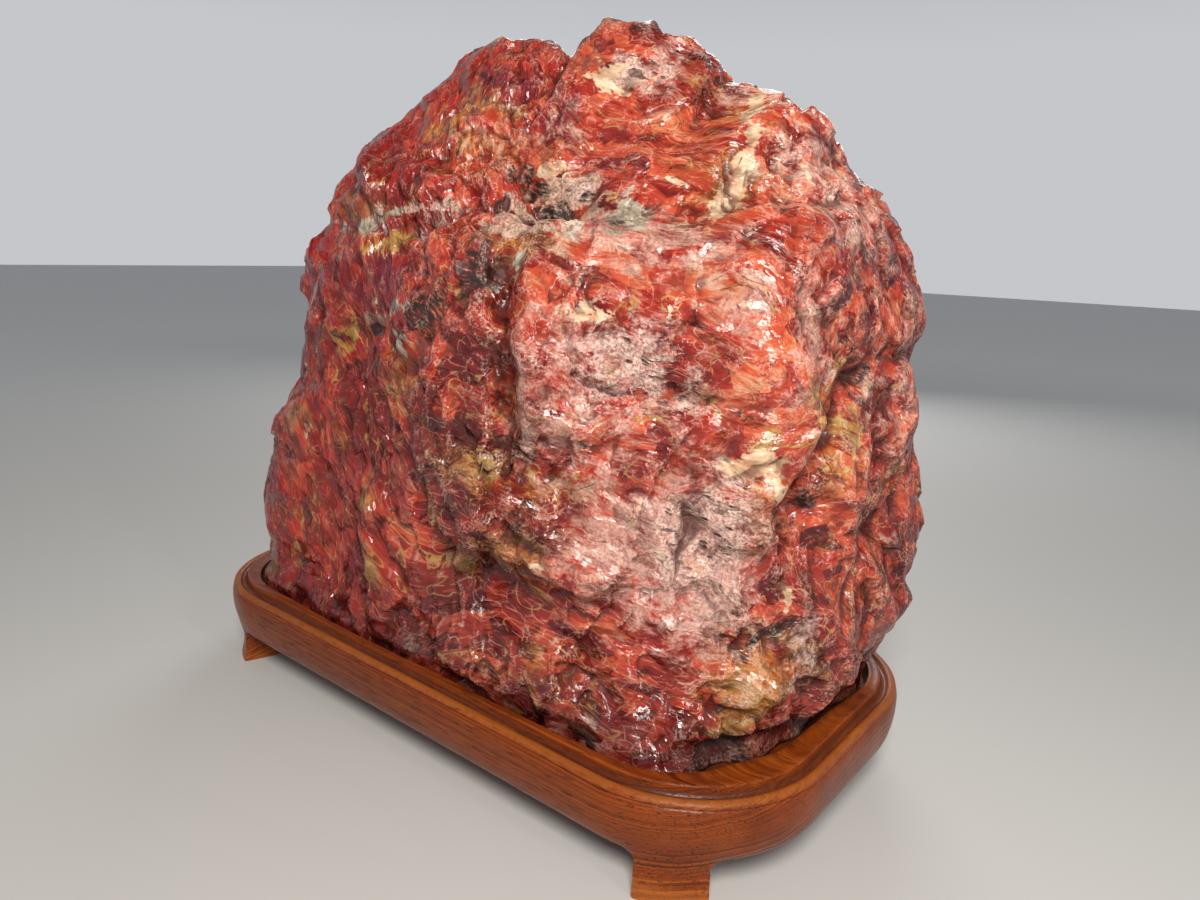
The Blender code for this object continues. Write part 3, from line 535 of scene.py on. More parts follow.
# The jasper's patterns: sizes in metres, and the shifts that bend them
FLOW_WARP = (0.030, 0.014, 1.0)
FINE_WARP = (0.006, 0.0026, 1.0)
PATTERN_MIDDLE = (0.0, -0.09, 0.18)
STEEP_RUN = ((0, 62, 0), (1.8, 1.0, 1.0))
LEVEL_RUN = ((8, 8, 0), (2.3, 1.0, 1.0))
STREAK_DRAW = (0.42, 1.0, 1.0)
RIDGE_DRAW = (0.40, 1.0, 1.0)
SLIT_RUN = ((0, 18, 35), (3.0, 2.4, 1.0))
BROAD_SIZE = 0.060
MOTTLE_SIZE = 0.0062
STREAK_SIZE = 0.0017
GRAIN_SIZE = 0.0013
BORDER_SIZE = 0.013
FRAGMENT_SIZE = 0.0078
THREAD_SIZE = 0.0150
NET_SIZE = 0.0062
SLIT_SIZE = 0.0026
CRACK_SIZE = 0.024
FACETS = (0.0080, 0.75)
FINE_FACETS = (0.0042, 0.80)
RIDGE_SIZE = 0.0021

# The jasper's colours, by place on the ramp
RED_RAMP = (
    (0.00, (0.060, 0.005, 0.006)),
    (0.18, (0.160, 0.011, 0.009)),
    (0.38, (0.320, 0.027, 0.015)),
    (0.58, (0.460, 0.064, 0.028)),
    (0.78, (0.550, 0.130, 0.052)),
    (1.00, (0.640, 0.280, 0.150)),
)
OCHRE_RAMP = ((0.36, (0.230, 0.082, 0.014)), (0.52, (0.450, 0.220, 0.038)), (0.68, (0.600, 0.410, 0.125)))
HAZE_RAMP = ((0.34, (0.410, 0.180, 0.140)), (0.50, (0.520, 0.300, 0.245)), (0.66, (0.640, 0.450, 0.380)))
THREAD_RAMP = ((0.42, (0.600, 0.360, 0.120)), (0.54, (0.720, 0.540, 0.420)))
OLIVE_RAMP = ((0.34, (0.150, 0.060, 0.010)), (0.50, (0.330, 0.160, 0.028)), (0.66, (0.480, 0.320, 0.085)))
BEIGE_RAMP = ((0.30, (0.170, 0.080, 0.055)), (0.46, (0.400, 0.240, 0.170)), (0.66, (0.560, 0.420, 0.310)))
GREY_RAMP = ((0.36, (0.100, 0.095, 0.070)), (0.50, (0.310, 0.290, 0.210)), (0.64, (0.520, 0.490, 0.370)))
CREAM_RAMP = ((0.36, (0.460, 0.220, 0.120)), (0.50, (0.600, 0.390, 0.230)), (0.66, (0.740, 0.590, 0.400)))
DUST_RAMP = (
    (0.30, (0.200, 0.070, 0.050)),
    (0.44, (0.430, 0.240, 0.195)),
    (0.56, (0.570, 0.400, 0.335)),
    (0.70, (0.740, 0.590, 0.520)),
)
CRIMSON = (0.340, 0.014, 0.010)
PURPLE_RED = (0.130, 0.011, 0.028)
PALE_STREAK = (0.650, 0.330, 0.220)
OCHRE_THREAD = (0.450, 0.280, 0.070)
DARK_OUTLINE = (0.070, 0.008, 0.008)
NET_VEIN = (0.660, 0.400, 0.290)
STAIN_AND_SHADE = (0.022, 0.013, 0.010)
PAINTED_HOLLOW_SHADE = (0.070, 0.014, 0.010)
WORN_RIDGE = (0.680, 0.430, 0.340)
CRACK_DARK = (0.018, 0.007, 0.006)
PAINTED_SHADE_RED = (0.030, 0.006, 0.006)
FLECK = (0.800, 0.660, 0.560)
JASPER_SHINE = 0.44

# The wood's grain: how each pattern is turned and drawn out, its size, and its colours
GRAIN_RUN = ((0, 0, 0), (9.0, 1.0, 1.0))
GRAIN_WARP = (0.030, 0.007)
TONE_SIZE = 0.020
PORE_RUN = ((0, 0, 2), (18.0, 1.0, 1.0))
PORE_SIZE = 0.0007
FIBRE_RUN = ((0, 0, 0), (30.0, 1.0, 1.0))
FIBRE_SIZE = 0.0005
WEAR_SIZE = 0.004
RING_MIDDLE = (0.0, 0.03, -0.38)
RING_COUNT = 700.0
WOOD_RAMP = (
    (0.26, (0.065, 0.008, 0.001)),
    (0.42, (0.150, 0.024, 0.002)),
    (0.56, (0.220, 0.041, 0.004)),
    (0.76, (0.310, 0.072, 0.008)),
)
PORE = (0.035, 0.007, 0.002)
PALE_FIBRE = (0.380, 0.120, 0.030)
RUBBED_WOOD = (0.380, 0.115, 0.018)
GRIME_AND_SHADE = (0.050, 0.012, 0.005)
WOOD_SHINE = 0.22

# The floor, the room and the lights: name, place, aim, size, power, colour
FLOOR_HALF = 6.0
FLOOR_NEAR = (0.52, 0.51, 0.49)
FLOOR_FAR = (0.93, 0.93, 0.93)
FLOOR_SPAN = (0.45, 2.2)
FLOOR_ROUGHNESS = 0.65
ROOM_STRENGTH = 0.68
ROOM_RAMP = ((0.20, (0.82, 0.84, 0.87)), (0.75, (0.16, 0.17, 0.18)))
LIGHTS = (
    ("key", (0.50, -0.56, 0.71), (0.13, -0.07, 0.20), 0.30, 9.8, (1.0, 0.96, 0.90)),
    ("fill", (-0.80, -0.90, 0.70), (0.0, 0.0, 0.18), 0.9, 0.25, (0.95, 0.97, 1.0)),
    ("back", (-0.5, 0.95, 0.65), (0.0, 0.0, 0.2), 0.8, 5.5, (1.0, 1.0, 1.0)),
    ("side", (0.95, -0.22, 0.62), (0.16, -0.04, 0.20), 0.10, 1.1, (1.0, 0.98, 0.95)),
)


# Grids and meshes


def make_object(name, points, quads, triangles):
    """A smooth mesh object at the origin, from whole arrays of points and faces."""
    mesh = bpy.data.meshes.new(name)
    mesh.from_pydata(points, [], [*quads.tolist(), *triangles.tolist()])
    mesh.validate()
    mesh.shade_smooth()
    item = bpy.data.objects.new(name, mesh)
    bpy.context.scene.collection.objects.link(item)
    return item


def add_colours(mesh, name, channels):
    """Store four numbers at each point, which the materials read by name."""
    attribute = mesh.attributes.new(name, "FLOAT_COLOR", "POINT")
    attribute.data.foreach_set("color", np.stack(channels, 1).astype(np.float32).ravel())


def get_vectors(collection, name):
    flat = np.empty(len(collection) * 3)
    collection.foreach_get(name, flat)
    return flat.reshape(-1, 3)


def ease(value, low, high):
    """0 below the low value, 1 above the high one, and a smooth step between."""
    share = np.clip((value - low) / (high - low), 0, 1)
    return share * share * (3 - 2 * share)


# Noise that is the same on every run


def lattice(place, seed):
    """A number from 0 to 1 for each whole-numbered place, from mixing the bits of its coordinates."""
    x, y, z = (place[:, k].astype(np.uint32) * np.uint32(AXIS_MIX[k]) for k in range(3))
    mixed = x ^ y ^ z ^ np.uint32((seed * SEED_MIX) % (LARGEST_MIX + 1))
    for shift, multiplier in BIT_MIX:
        mixed = (mixed ^ (mixed >> np.uint32(shift))) * np.uint32(multiplier)
    return (mixed ^ (mixed >> np.uint32(LAST_SHIFT))) / LARGEST_MIX


def smooth_noise(p, seed):
    """Noise from -1 to 1: the eight lattice numbers round each point, blended across the cell."""
    base = np.floor(p)
    part = p - base
    part = part**3 * (part * (part * 6 - 15) + 10)
    cell = base.astype(np.int64)
    total = np.zeros(len(p))
    for step in np.ndindex(2, 2, 2):
        weight = np.prod(np.where(step, part, 1 - part), axis=1)
        total += weight * lattice(cell + step, seed)
    return total * 2 - 1


def layered_noise(p, seed, layers):
    """Smooth noise added to itself at half the size and half the height, over and over."""
    total = np.zeros(len(p))
    for layer in range(layers):
        total += smooth_noise(p * LAYER_STEP**layer + LAYER_SHIFT * layer, seed + layer) * 0.5**layer
    return total / (2 - 2 * 0.5**layers)


def drift(p, seed):
    """Smooth noise along each of the three axes."""
    return np.stack([smooth_noise(p, seed + k) for k in range(3)], 1)


def flats(p, seed, crispness):
    """Broken flats: each lattice cell holds a plane tilted its own way, and a point's height is the
    mean of the planes near it, weighted by exp(-crispness x squared distance to their centres)."""
    base = np.floor(p).astype(np.int64)
    total = np.zeros(len(p))
    height = np.zeros(len(p))
    for step in np.ndindex(3, 3, 3):
        cell = base + np.array(step) - 1
        centre = cell + np.stack([lattice(cell, seed + k) for k in range(3)], 1)
        tilt = np.stack([lattice(cell, seed + 5 + k) * 2 - 1 for k in range(3)], 1)
        offset = p - centre
        weight = np.exp(-crispness * (offset * offset).sum(1))
        total += weight
        height += weight * ((offset * tilt).sum(1) + FLAT_STEP * (lattice(cell, seed + 9) * 2 - 1))
    return height / np.maximum(total, LEAST_WEIGHT)


# The line of the tray's rim


def rim_stations(angles, along_side, along_end):
    """Places round the rim's outer line, counter-clockwise: point, outward direction, and how far
    each place is from the middle of its corner's foot, along the line."""
    points, outwards, offsets = [], [], []
    corners = ((1, -1), (1, 1), (-1, 1), (-1, -1))
    for index, (side_x, side_y) in enumerate(corners):
        centre = np.array([side_x, side_y]) * (HALF_LENGTH - CORNER_RADIUS, HALF_DEPTH - CORNER_RADIUS)
        turned = angles if side_x * side_y > 0 else angles[::-1]
        outward = np.stack([side_x * np.cos(np.radians(turned)), side_y * np.sin(np.radians(turned))], 1)
        points.append(centre + CORNER_RADIUS * outward)
        outwards.append(outward)
        sign = 1 if side_x * side_y > 0 else -1
        offsets.append(np.radians(turned - FOOT_TURN) * CORNER_RADIUS * sign)
        following = np.array(corners[(index + 1) % 4])
        next_centre = following * (HALF_LENGTH - CORNER_RADIUS, HALF_DEPTH - CORNER_RADIUS)
        count = along_end if index % 2 == 0 else along_side
        share = (np.arange(1, count + 1) / (count + 1))[:, None]
        straight = centre * (1 - share) + next_centre * share
        points.append(straight + CORNER_RADIUS * outward[-1])
        outwards.append(np.repeat(outward[-1:], count, 0))
        offsets.append(np.full(count, CLEAR_OF_FOOT))
    return np.concatenate(points), np.concatenate(outwards), np.concatenate(offsets)


def seat_inset(angle):
    """Inset of the seat's edge from the rim at a compass angle in radians."""
    listed = np.array([row[0] for row in SEAT_LINE], float)
    inset = np.array([row[1] for row in SEAT_LINE], float)
    spread = [np.interp(np.degrees(angle) + turn, listed, inset, period=360) for turn in SEAT_SMOOTHING]
    return np.mean(spread, axis=0) * MM


def seat_reach(angle):
    """Distance from the tray's middle to the seat's edge at a compass angle in radians."""
    angles = np.linspace(0, 90, FINE_CORNER_POINTS)
    points, outwards, _ = rim_stations(angles, FINE_SIDE_POINTS, FINE_END_POINTS)
    edge = points - outwards * seat_inset(np.arctan2(points[:, 1], points[:, 0]))[:, None]
    compass = np.arctan2(edge[:, 1], edge[:, 0])
    order = np.argsort(compass)
    return np.interp(angle, compass[order], np.hypot(*edge.T)[order], period=2 * pi)


# The stone's form


def block_reach(directions):
    """Reach of the plain block along each direction from the core: a soft least of the reaches of
    its broken faces, each a plane, and then of the cone that rises from the seat's line and the foot."""
    crowd = np.zeros(len(directions))
    for _, compass, tilt, distance in FACES:
        a, t = radians(compass), radians(tilt)
        outward = np.array([cos(a) * cos(t), sin(a) * cos(t), sin(t)])
        crowd += (np.maximum(directions @ outward, 0) / (distance * MM)) ** FACE_SHARPNESS
    faces = crowd ** (1 / FACE_SHARPNESS)
    level = np.hypot(directions[:, 0], directions[:, 1])
    compass = np.arctan2(directions[:, 1], directions[:, 0])
    cone = seat_reach(compass) + SEAT_FLARE * (CORE[2] - LAND_HEIGHT)
    seat = np.maximum(level - SEAT_FLARE * directions[:, 2], 0) / cone
    foot = np.maximum(-directions[:, 2], 0) / (CORE[2] - SEAT_HEIGHT - FLOOR_GAP)
    together = faces**SEAT_SHARPNESS + seat**SEAT_SHARPNESS + foot**SEAT_SHARPNESS
    return together ** (-1 / SEAT_SHARPNESS)


def offset_from_segment(p, start, end):
    """Offset in millimetres of each point from the nearest place on a segment."""
    start, end = np.array(start, float), np.array(end, float)
    run = end - start
    share = np.clip((p / MM - start) @ run / (run @ run), 0, 1)
    return p / MM - (start + share[:, None] * run)


def listed_forms(p):
    """Rise from the lumps, grooves and ledges, in metres: a lump is a bell, a groove a bell across
    its line, and a ledge a step across its line that fades over its reach."""
    rise = np.zeros(len(p))
    for _, centre, size, height in LUMPS + SMALL_LUMPS:
        rise += height * np.exp(-((((p / MM - centre) / size) ** 2).sum(1)))
    for _, start, end, width, depth in GROOVES + FINE_GROOVES:
        away = np.linalg.norm(offset_from_segment(p, start, end), axis=1) / width
        rise -= depth * np.exp(-(away**CREASE_PROFILE))
    for _, start, end, proud, height, reach, width in LEDGES:
        offset = offset_from_segment(p, start, end)
        proud = np.array(proud, float) / sqrt(sum(part * part for part in proud))
        side = offset @ proud
        beside = np.linalg.norm(offset - side[:, None] * proud, axis=1)
        step = (1 + np.tanh(side / width)) / 2
        fade = np.exp(-((np.maximum(side, 0) / reach) ** 2) - (beside / (reach * LEDGE_SIDE_REACH)) ** 2)
        rise += height * step * fade
    return rise * MM


def roughness_here(p):
    """How rough the skin is at each point, from a little on smooth glossy breaks to 1 on ragged ones."""
    ragged = ease(layered_noise(p / RAGGED_SIZE, RAGGED_SEED, 2), *RAGGED_SPAN)
    ragged = LEAST_RAGGED + (1 - LEAST_RAGGED) * ragged
    return ragged * (1 - RAGGED_CALM * patch_strengths(p, "smooth"))


def broken_relief(p):
    """Rise from three sizes of broken flats and from upright folds."""
    size, height, layers, seed = FOLDS
    rise = height * layered_noise(p / size, seed, layers)
    calm = 1 - BREAK_CALM * patch_strengths(p, "smooth")
    for breaks in (LARGE_FLATS, MIDDLE_FLATS, SMALL_FLATS):
        size, height, levelling, seed, shift, over, shift_seed, crispness = breaks
        wandering = p + shift * drift(p / over, shift_seed)
        relief = height * np.tanh(levelling * flats(wandering / size, seed, crispness))
        rise += relief * (roughness_here(p) if breaks is SMALL_FLATS else calm)
    return rise


def fine_relief(p):
    """Rise from broken steps along the zero lines of stretched noises, and from fine roughness."""
    height, size, seed, layers = FINE_ROUGHNESS
    rise = height * layered_noise(p / size, seed, layers) * roughness_here(p)
    calm = 1 - STEP_CALM * patch_strengths(p, "smooth")
    x, y, z = p.T
    for size, turn, height, width, seed in STEPS:
        a = radians(turn)
        turned = np.stack([x * cos(a) - z * sin(a), y, x * sin(a) + z * cos(a)], 1)
        wandering = turned + STEP_SHIFT * drift(turned / STEP_SHIFT_SIZE, seed + 3)
        there = ease(smooth_noise(p / STEP_SPOT_SIZE, seed + 7), *STEP_SPOT_SPAN) * calm
        rise += height * there * np.tanh(smooth_noise(wandering / size, seed) / width)
    return rise


def foot_recess(p):
    """How far the foot stays back from the seat's line, in metres: by noise below the land, by
    undercuts from the low parts of broken flats over it, and by the listed hollows, each a bell
    round its compass angle that closes above its height."""
    up = p[:, 2]
    compass = np.degrees(np.arctan2(p[:, 1], p[:, 0]))
    height, size, seed, layers = FOOT_NOISE
    recess = height * (1 + layered_noise(p / size, seed, layers)) * (1 - ease(up, *FOOT_NOISE_END))
    above = ease(up, *UNDERCUT_START) * (1 - ease(up, *UNDERCUT_END))
    for size, depth, seed in UNDERCUTS:
        low = np.maximum(UNDERCUT_LEVEL - flats(p / size, seed, UNDERCUT_CRISPNESS), 0)
        recess += depth * low * above
    for middle, half, depth, height in FOOT_HOLLOWS:
        turn = (compass - middle + 180) % 360 - 180
        closed = ease(up, *(LAND_HEIGHT + height * MM + share for share in HOLLOW_CLOSING))
        recess += depth * MM * np.exp(-((turn / half) ** 2)) * (1 - closed)
    return recess


def hold_over_seat(p):
    """Bring the lowest part of the skin down to the seat's line: what is outside comes in to a
    cone that widens from the line, and what is inside moves out to it, less the foot's recess."""
    away = np.hypot(p[:, 0], p[:, 1])
    line = seat_reach(np.arctan2(p[:, 1], p[:, 0])) - SEAT_GAP
    up = np.maximum(p[:, 2] - FOOT_TOP, 0)
    held = np.minimum(away, line + SKIN_FLARE * up)
    share = np.clip(1 - up / SPREAD_HEIGHT, 0, 1) ** 2
    held += np.maximum(line - held, 0) * share
    p[:, :2] *= (held / away)[:, None]
    p[:, :2] *= (1 - foot_recess(p) / held)[:, None]
    return p


def stone_skin(directions):
    """Points of the stone's skin: the block's reach plus the rise of its forms, from the core."""
    plain = CORE + directions * block_reach(directions)[:, None]
    wandering = plain + sum(shift * drift(plain / over, seed) for shift, over, seed in WANDER)
    rise = listed_forms(wandering) + broken_relief(wandering) + fine_relief(wandering) - TRIM
    skin = plain + directions * rise[:, None]
    skin[:, 2] = np.maximum(skin[:, 2], SEAT_HEIGHT + FLOOR_GAP)
    return hold_over_seat(skin)


def box_grid():
    """The box round the core, cut evenly: the ring of places round its side, the places inside the
    edge of its top, and the faces of the closed skin, which point outwards. The points count from
    the side's lowest row up, then over the top's inside, and the last is the middle of the bottom."""
    x = np.linspace(-BOX_HALF_X, BOX_HALF_X, CUTS_X + 1)
    y = np.linspace(-BOX_HALF_Y, BOX_HALF_Y, CUTS_Y + 1)
    ring = np.concatenate([
        np.column_stack([x[:-1], np.full(CUTS_X, -BOX_HALF_Y)]),
        np.column_stack([np.full(CUTS_Y, BOX_HALF_X), y[:-1]]),
        np.column_stack([x[:0:-1], np.full(CUTS_X, BOX_HALF_Y)]),
        np.column_stack([np.full(CUTS_Y, -BOX_HALF_X), y[:0:-1]]),
    ])
    stations = len(ring)
    inside = np.stack(np.meshgrid(x[1:-1], y[1:-1], indexing="ij"), -1).reshape(-1, 2)
    row = np.arange((CUTS_Z + 1) * stations).reshape(CUTS_Z + 1, stations)
    ahead = np.roll(row, -1, axis=1)
    side_faces = np.stack([row[:-1], ahead[:-1], ahead[1:], row[1:]], -1).reshape(-1, 4)
    lid = np.empty((CUTS_X + 1, CUTS_Y + 1), int)
    lid[1:-1, 1:-1] = row.size + np.arange(len(inside)).reshape(CUTS_X - 1, CUTS_Y - 1)
    lid[:-1, 0] = row[-1, :CUTS_X]
    lid[-1, :-1] = row[-1, CUTS_X:CUTS_X + CUTS_Y]
    lid[:0:-1, -1] = row[-1, CUTS_X + CUTS_Y:2 * CUTS_X + CUTS_Y]
    lid[0, :0:-1] = row[-1, 2 * CUTS_X + CUTS_Y:]
    top_faces = np.stack([lid[:-1, :-1], lid[1:, :-1], lid[1:, 1:], lid[:-1, 1:]], -1).reshape(-1, 4)
    middle = np.full(stations, row.size + len(inside))
    bottom_faces = np.column_stack([ahead[0], row[0], middle])
    return ring, inside, np.concatenate([side_faces, top_faces]), bottom_faces


def column_directions(ring, share):
    """Directions from the core for shares up the columns: out along the bottom of the box as far as
    the bend, and then up its side."""
    out = INNER_SHARE + (1 - INNER_SHARE) * np.clip(share / BEND, 0, 1)
    height = BOX_BOTTOM + (BOX_TOP - BOX_BOTTOM) * np.clip((share - BEND) / (1 - BEND), 0, 1)
    places = np.concatenate([ring * out[..., None], height[..., None]], -1).reshape(-1, 3)
    return places / np.linalg.norm(places, axis=1, keepdims=True)


def side_points(ring):
    """Points of the side, row by row: the low rows stand on the seat's line, and the others are
    evenly spaced along the skin, from the land's height up to the edge of the box's top."""
    stations = len(ring)
    column = np.arange(stations)
    first = np.linspace(0, 1, FIRST_ROWS)
    directions = column_directions(ring, np.broadcast_to(first[:, None], (FIRST_ROWS, stations)))
    points = stone_skin(directions).reshape(FIRST_ROWS, stations, 3)
    steps = np.linalg.norm(np.diff(points, axis=0), axis=2)
    length = np.concatenate([np.zeros((1, stations)), np.cumsum(steps, axis=0)])
    under = points[:, :, 2] < FOOT_TOP
    last = np.where(under.any(0), FIRST_ROWS - 1 - np.argmax(under[::-1], axis=0), 0)
    low, high = points[last, column, 2], points[last + 1, column, 2]
    part = np.clip((FOOT_TOP - low) / np.maximum(high - low, LEAST_RISE), 0, 1)
    start = length[last, column] * (1 - part) + length[last + 1, column] * part
    wanted = start + (length[-1] - start) * np.linspace(0, 1, CUTS_Z + 1 - LOW_ROWS)[:, None]
    apart = column * (2 * length.max())
    share = np.interp((wanted + apart).T.ravel(), (length + apart).T.ravel(), np.tile(first, stations))
    upper = stone_skin(column_directions(ring, share.reshape(stations, -1).T))
    compass = np.arctan2(upper[:stations, 1], upper[:stations, 0])
    line = seat_reach(compass)
    heights = np.linspace(SEAT_HEIGHT + FLOOR_GAP, FOOT_TOP, LOW_ROWS + 1)[:-1]
    lower = np.column_stack([
        np.tile(line * np.cos(compass), LOW_ROWS),
        np.tile(line * np.sin(compass), LOW_ROWS),
        np.repeat(heights, stations),
    ])
    return np.concatenate([hold_over_seat(lower), upper])


# The stone's colours


def patch_strengths(p, kind):
    """How strongly a kind of patch shows at each point: the greatest of its bells, of its veins'
    bells across their lines, and of its chance patches."""
    strength = np.zeros(len(p))
    for *bell, most in PATCHES[kind]:
        away = (p / MM - bell[:3]) / bell[3:]
        strength = np.maximum(strength, most * np.exp(-((away**2).sum(1))))
    for width, most, *places in VEINS.get(kind, ()):
        for start, end in zip(places, places[1:]):
            away = np.linalg.norm(offset_from_segment(p, start, end), axis=1) / width
            strength = np.maximum(strength, most * np.exp(-(away**2)))
    size, start, seed, most = CHANCE[kind]
    chance = ease(layered_noise(p / size, seed, 3), start, start + CHANCE_SLOPE)
    return np.maximum(strength, most * chance)


def neighbour_mean(values, edges):
    """The mean of each point's neighbours' values."""
    a, b = edges.T
    count = np.bincount(a, minlength=len(values)) + np.bincount(b, minlength=len(values))
    sums = [
        np.bincount(a, column[b], len(values)) + np.bincount(b, column[a], len(values))
        for column in values.T
    ]
    return np.stack(sums, 1) / count[:, None]


def hollowness(mesh, points, rounds, depth):
    """How far each point lies under the smoothed skin, from -1 on a ridge to 1 in a hollow."""
    edges = np.empty(len(mesh.edges) * 2, np.int64)
    mesh.edges.foreach_get("vertices", edges)
    edges = edges.reshape(-1, 2)
    normals = get_vectors(mesh.vertex_normals, "vector")
    smoothed = points
    for _ in range(rounds):
        smoothed = neighbour_mean(smoothed, edges)
    return np.clip(((smoothed - points) * normals).sum(1) / depth, -1, 1)


def make_stone():
    """The stone: the places on the box are sent out from the core to the skin."""
    ring, inside, quads, bottom = box_grid()
    top = np.column_stack([inside, np.full(len(inside), BOX_TOP)])
    top_points = stone_skin(top / np.linalg.norm(top, axis=1, keepdims=True))
    points = np.concatenate([side_points(ring), top_points, [[0.0, 0.0, SEAT_HEIGHT + FLOOR_GAP]]])
    stone = make_object("red_jasper_block", points, quads, bottom)
    seen = points + sum(shift * drift(points / over, seed) for shift, over, seed in PATCH_WANDER)
    for name, kinds in PATCH_CHANNELS.items():
        add_colours(stone.data, name, [patch_strengths(seen, kind) for kind in kinds])
    # Painted shade for the colours: how hollow each point is, near and wide, and how low it stands; and how
    # far to the left
    near = hollowness(stone.data, points, *NEAR_HOLLOWS)
    wide = hollowness(stone.data, points, *WIDE_HOLLOWS)
    low = 1 - ease(points[:, 2], *LOW_SHADE)
    left = ease(-points[:, 0], *LEFT_SIDE)
    add_colours(stone.data, "form", [near * 0.5 + 0.5, wide * 0.5 + 0.5, low, left])
    return stone


# The wooden stand


def foot_offsets():
    """Offsets from the middle of a foot at which the rim has a point: over the foot, round the edge
    of its side, and along the fillet, where they follow a quarter circle."""
    flat = FOOT_HALF_WIDTH - SOLE_ROUNDING
    over = np.linspace(0, flat, SOLE_CUTS)
    edge = flat + SOLE_ROUNDING * np.sin(np.linspace(0, pi / 2, ROUNDING_CUTS)[1:])
    fillet = FOOT_HALF_WIDTH + FOOT_FILLET * (1 - np.cos(np.linspace(0, pi / 2, FILLET_CUTS)[1:]))
    return np.concatenate([over, edge, fillet])


def foot_share(offset):
    """How far the wall's lower edge has dropped to the surface: 1 on a foot, 0 clear of it, a
    rounded corner at the sole's side and a quarter circle along the fillet."""
    beyond = np.clip(np.abs(offset) - FOOT_HALF_WIDTH, 0.0, FOOT_FILLET)
    lift = np.sqrt(FOOT_FILLET**2 - (FOOT_FILLET - beyond) ** 2)
    corner = np.clip(np.abs(offset) - FOOT_HALF_WIDTH + SOLE_ROUNDING, 0.0, SOLE_ROUNDING)
    sole = SOLE_ROUNDING - np.sqrt(SOLE_ROUNDING**2 - corner**2)
    edge = np.where(beyond > ROUNDING, UNDERSIDE_HEIGHT - FOOT_FILLET + lift, sole)
    return 1 - edge / UNDERSIDE_HEIGHT


def curved_run(points, cuts):
    """Places along a smooth curve through the points, by cubic pieces whose slopes are those of the
    chords across each point, with the given cuts in each piece."""
    points = np.array(points, float)
    along = np.concatenate([[0], np.cumsum(np.linalg.norm(np.diff(points, axis=0), axis=1))])
    slope = np.gradient(points, along, axis=0)
    placed = []
    for k, count in enumerate(cuts):
        length = along[k + 1] - along[k]
        t = (np.arange(count) / count)[:, None]
        start = (1 + 2 * t) * (1 - t) ** 2 * points[k] + t * (1 - t) ** 2 * length * slope[k]
        end = t * t * (3 - 2 * t) * points[k + 1] + t * t * (t - 1) * length * slope[k + 1]
        placed.append(start + end)
    return np.concatenate([*placed, points[-1:]])


def seat_rows(seat):
    """Rows of the section from the seat's floor up over its chamfer and the land, each of them inset,
    height, spread, how worn it is, and how dark it is painted for dirt and painted shade."""
    rise = LAND_HEIGHT - SEAT_CHAMFER - SEAT_HEIGHT
    rows = [
        (seat + SEAT_DRAFT * (1 - part), SEAT_HEIGHT + part * rise, 0.0, 0.0, 1.0)
        for part in (0.0, 0.35, 0.7, 1.0)
    ]
    rows.append((seat - SEAT_CHAMFER * 0.4, LAND_HEIGHT - SEAT_CHAMFER * 0.25, 0.0, 0.5, 0.0))
    rows.append((seat - SEAT_CHAMFER, LAND_HEIGHT, 0.0, 0.3, 0.0))
    for part in (0.25, 0.5, 0.75):
        inset = (seat - SEAT_CHAMFER) * (1 - part) + LAND_EDGE_RUN[0][0] * MM * part
        rows.append((inset, LAND_HEIGHT - LAND_DIP * sin(pi * part), 0.0, 0.0, 0.0))
    return rows


def moulding_rows():
    """Rows of the rim's mouldings and of the wall, down to where the feet begin."""
    rows = []
    for run, cuts, (edge_worn, middle_worn), dark in MOULDINGS:
        placed = curved_run(run, cuts)
        for k, (inset, height) in enumerate(placed[:-1]):
            middle = sin(pi * (k + 0.5) / (len(placed) - 1))
            worn = edge_worn * (1 - middle) + middle_worn * middle
            rows.append((inset * MM, height * MM, 0.0, worn, dark * middle))
    return rows


def foot_rows(share):
    """Rows of the lower wall and the feet, by how far each place on the rim is a foot."""
    rows = []
    sections = zip(curved_run(PLAIN_RUN, PLAIN_CUTS), curved_run(FOOT_RUN, PLAIN_CUTS))
    for (plain_inset, plain_height), (foot_inset, foot_height) in sections:
        inset = plain_inset + (foot_inset - plain_inset) * share
        height = np.maximum(plain_height + (foot_height - plain_height) * share, 0.0)
        spread = FOOT_SPREAD * (1 - ease(foot_height, *FOOT_SPREAD_SPAN))
        toe = share * (1 - ease(foot_height, *TOE_WEAR_SPAN))
        rows.append((inset * MM, height * MM, spread, toe, 0.0))
    return rows


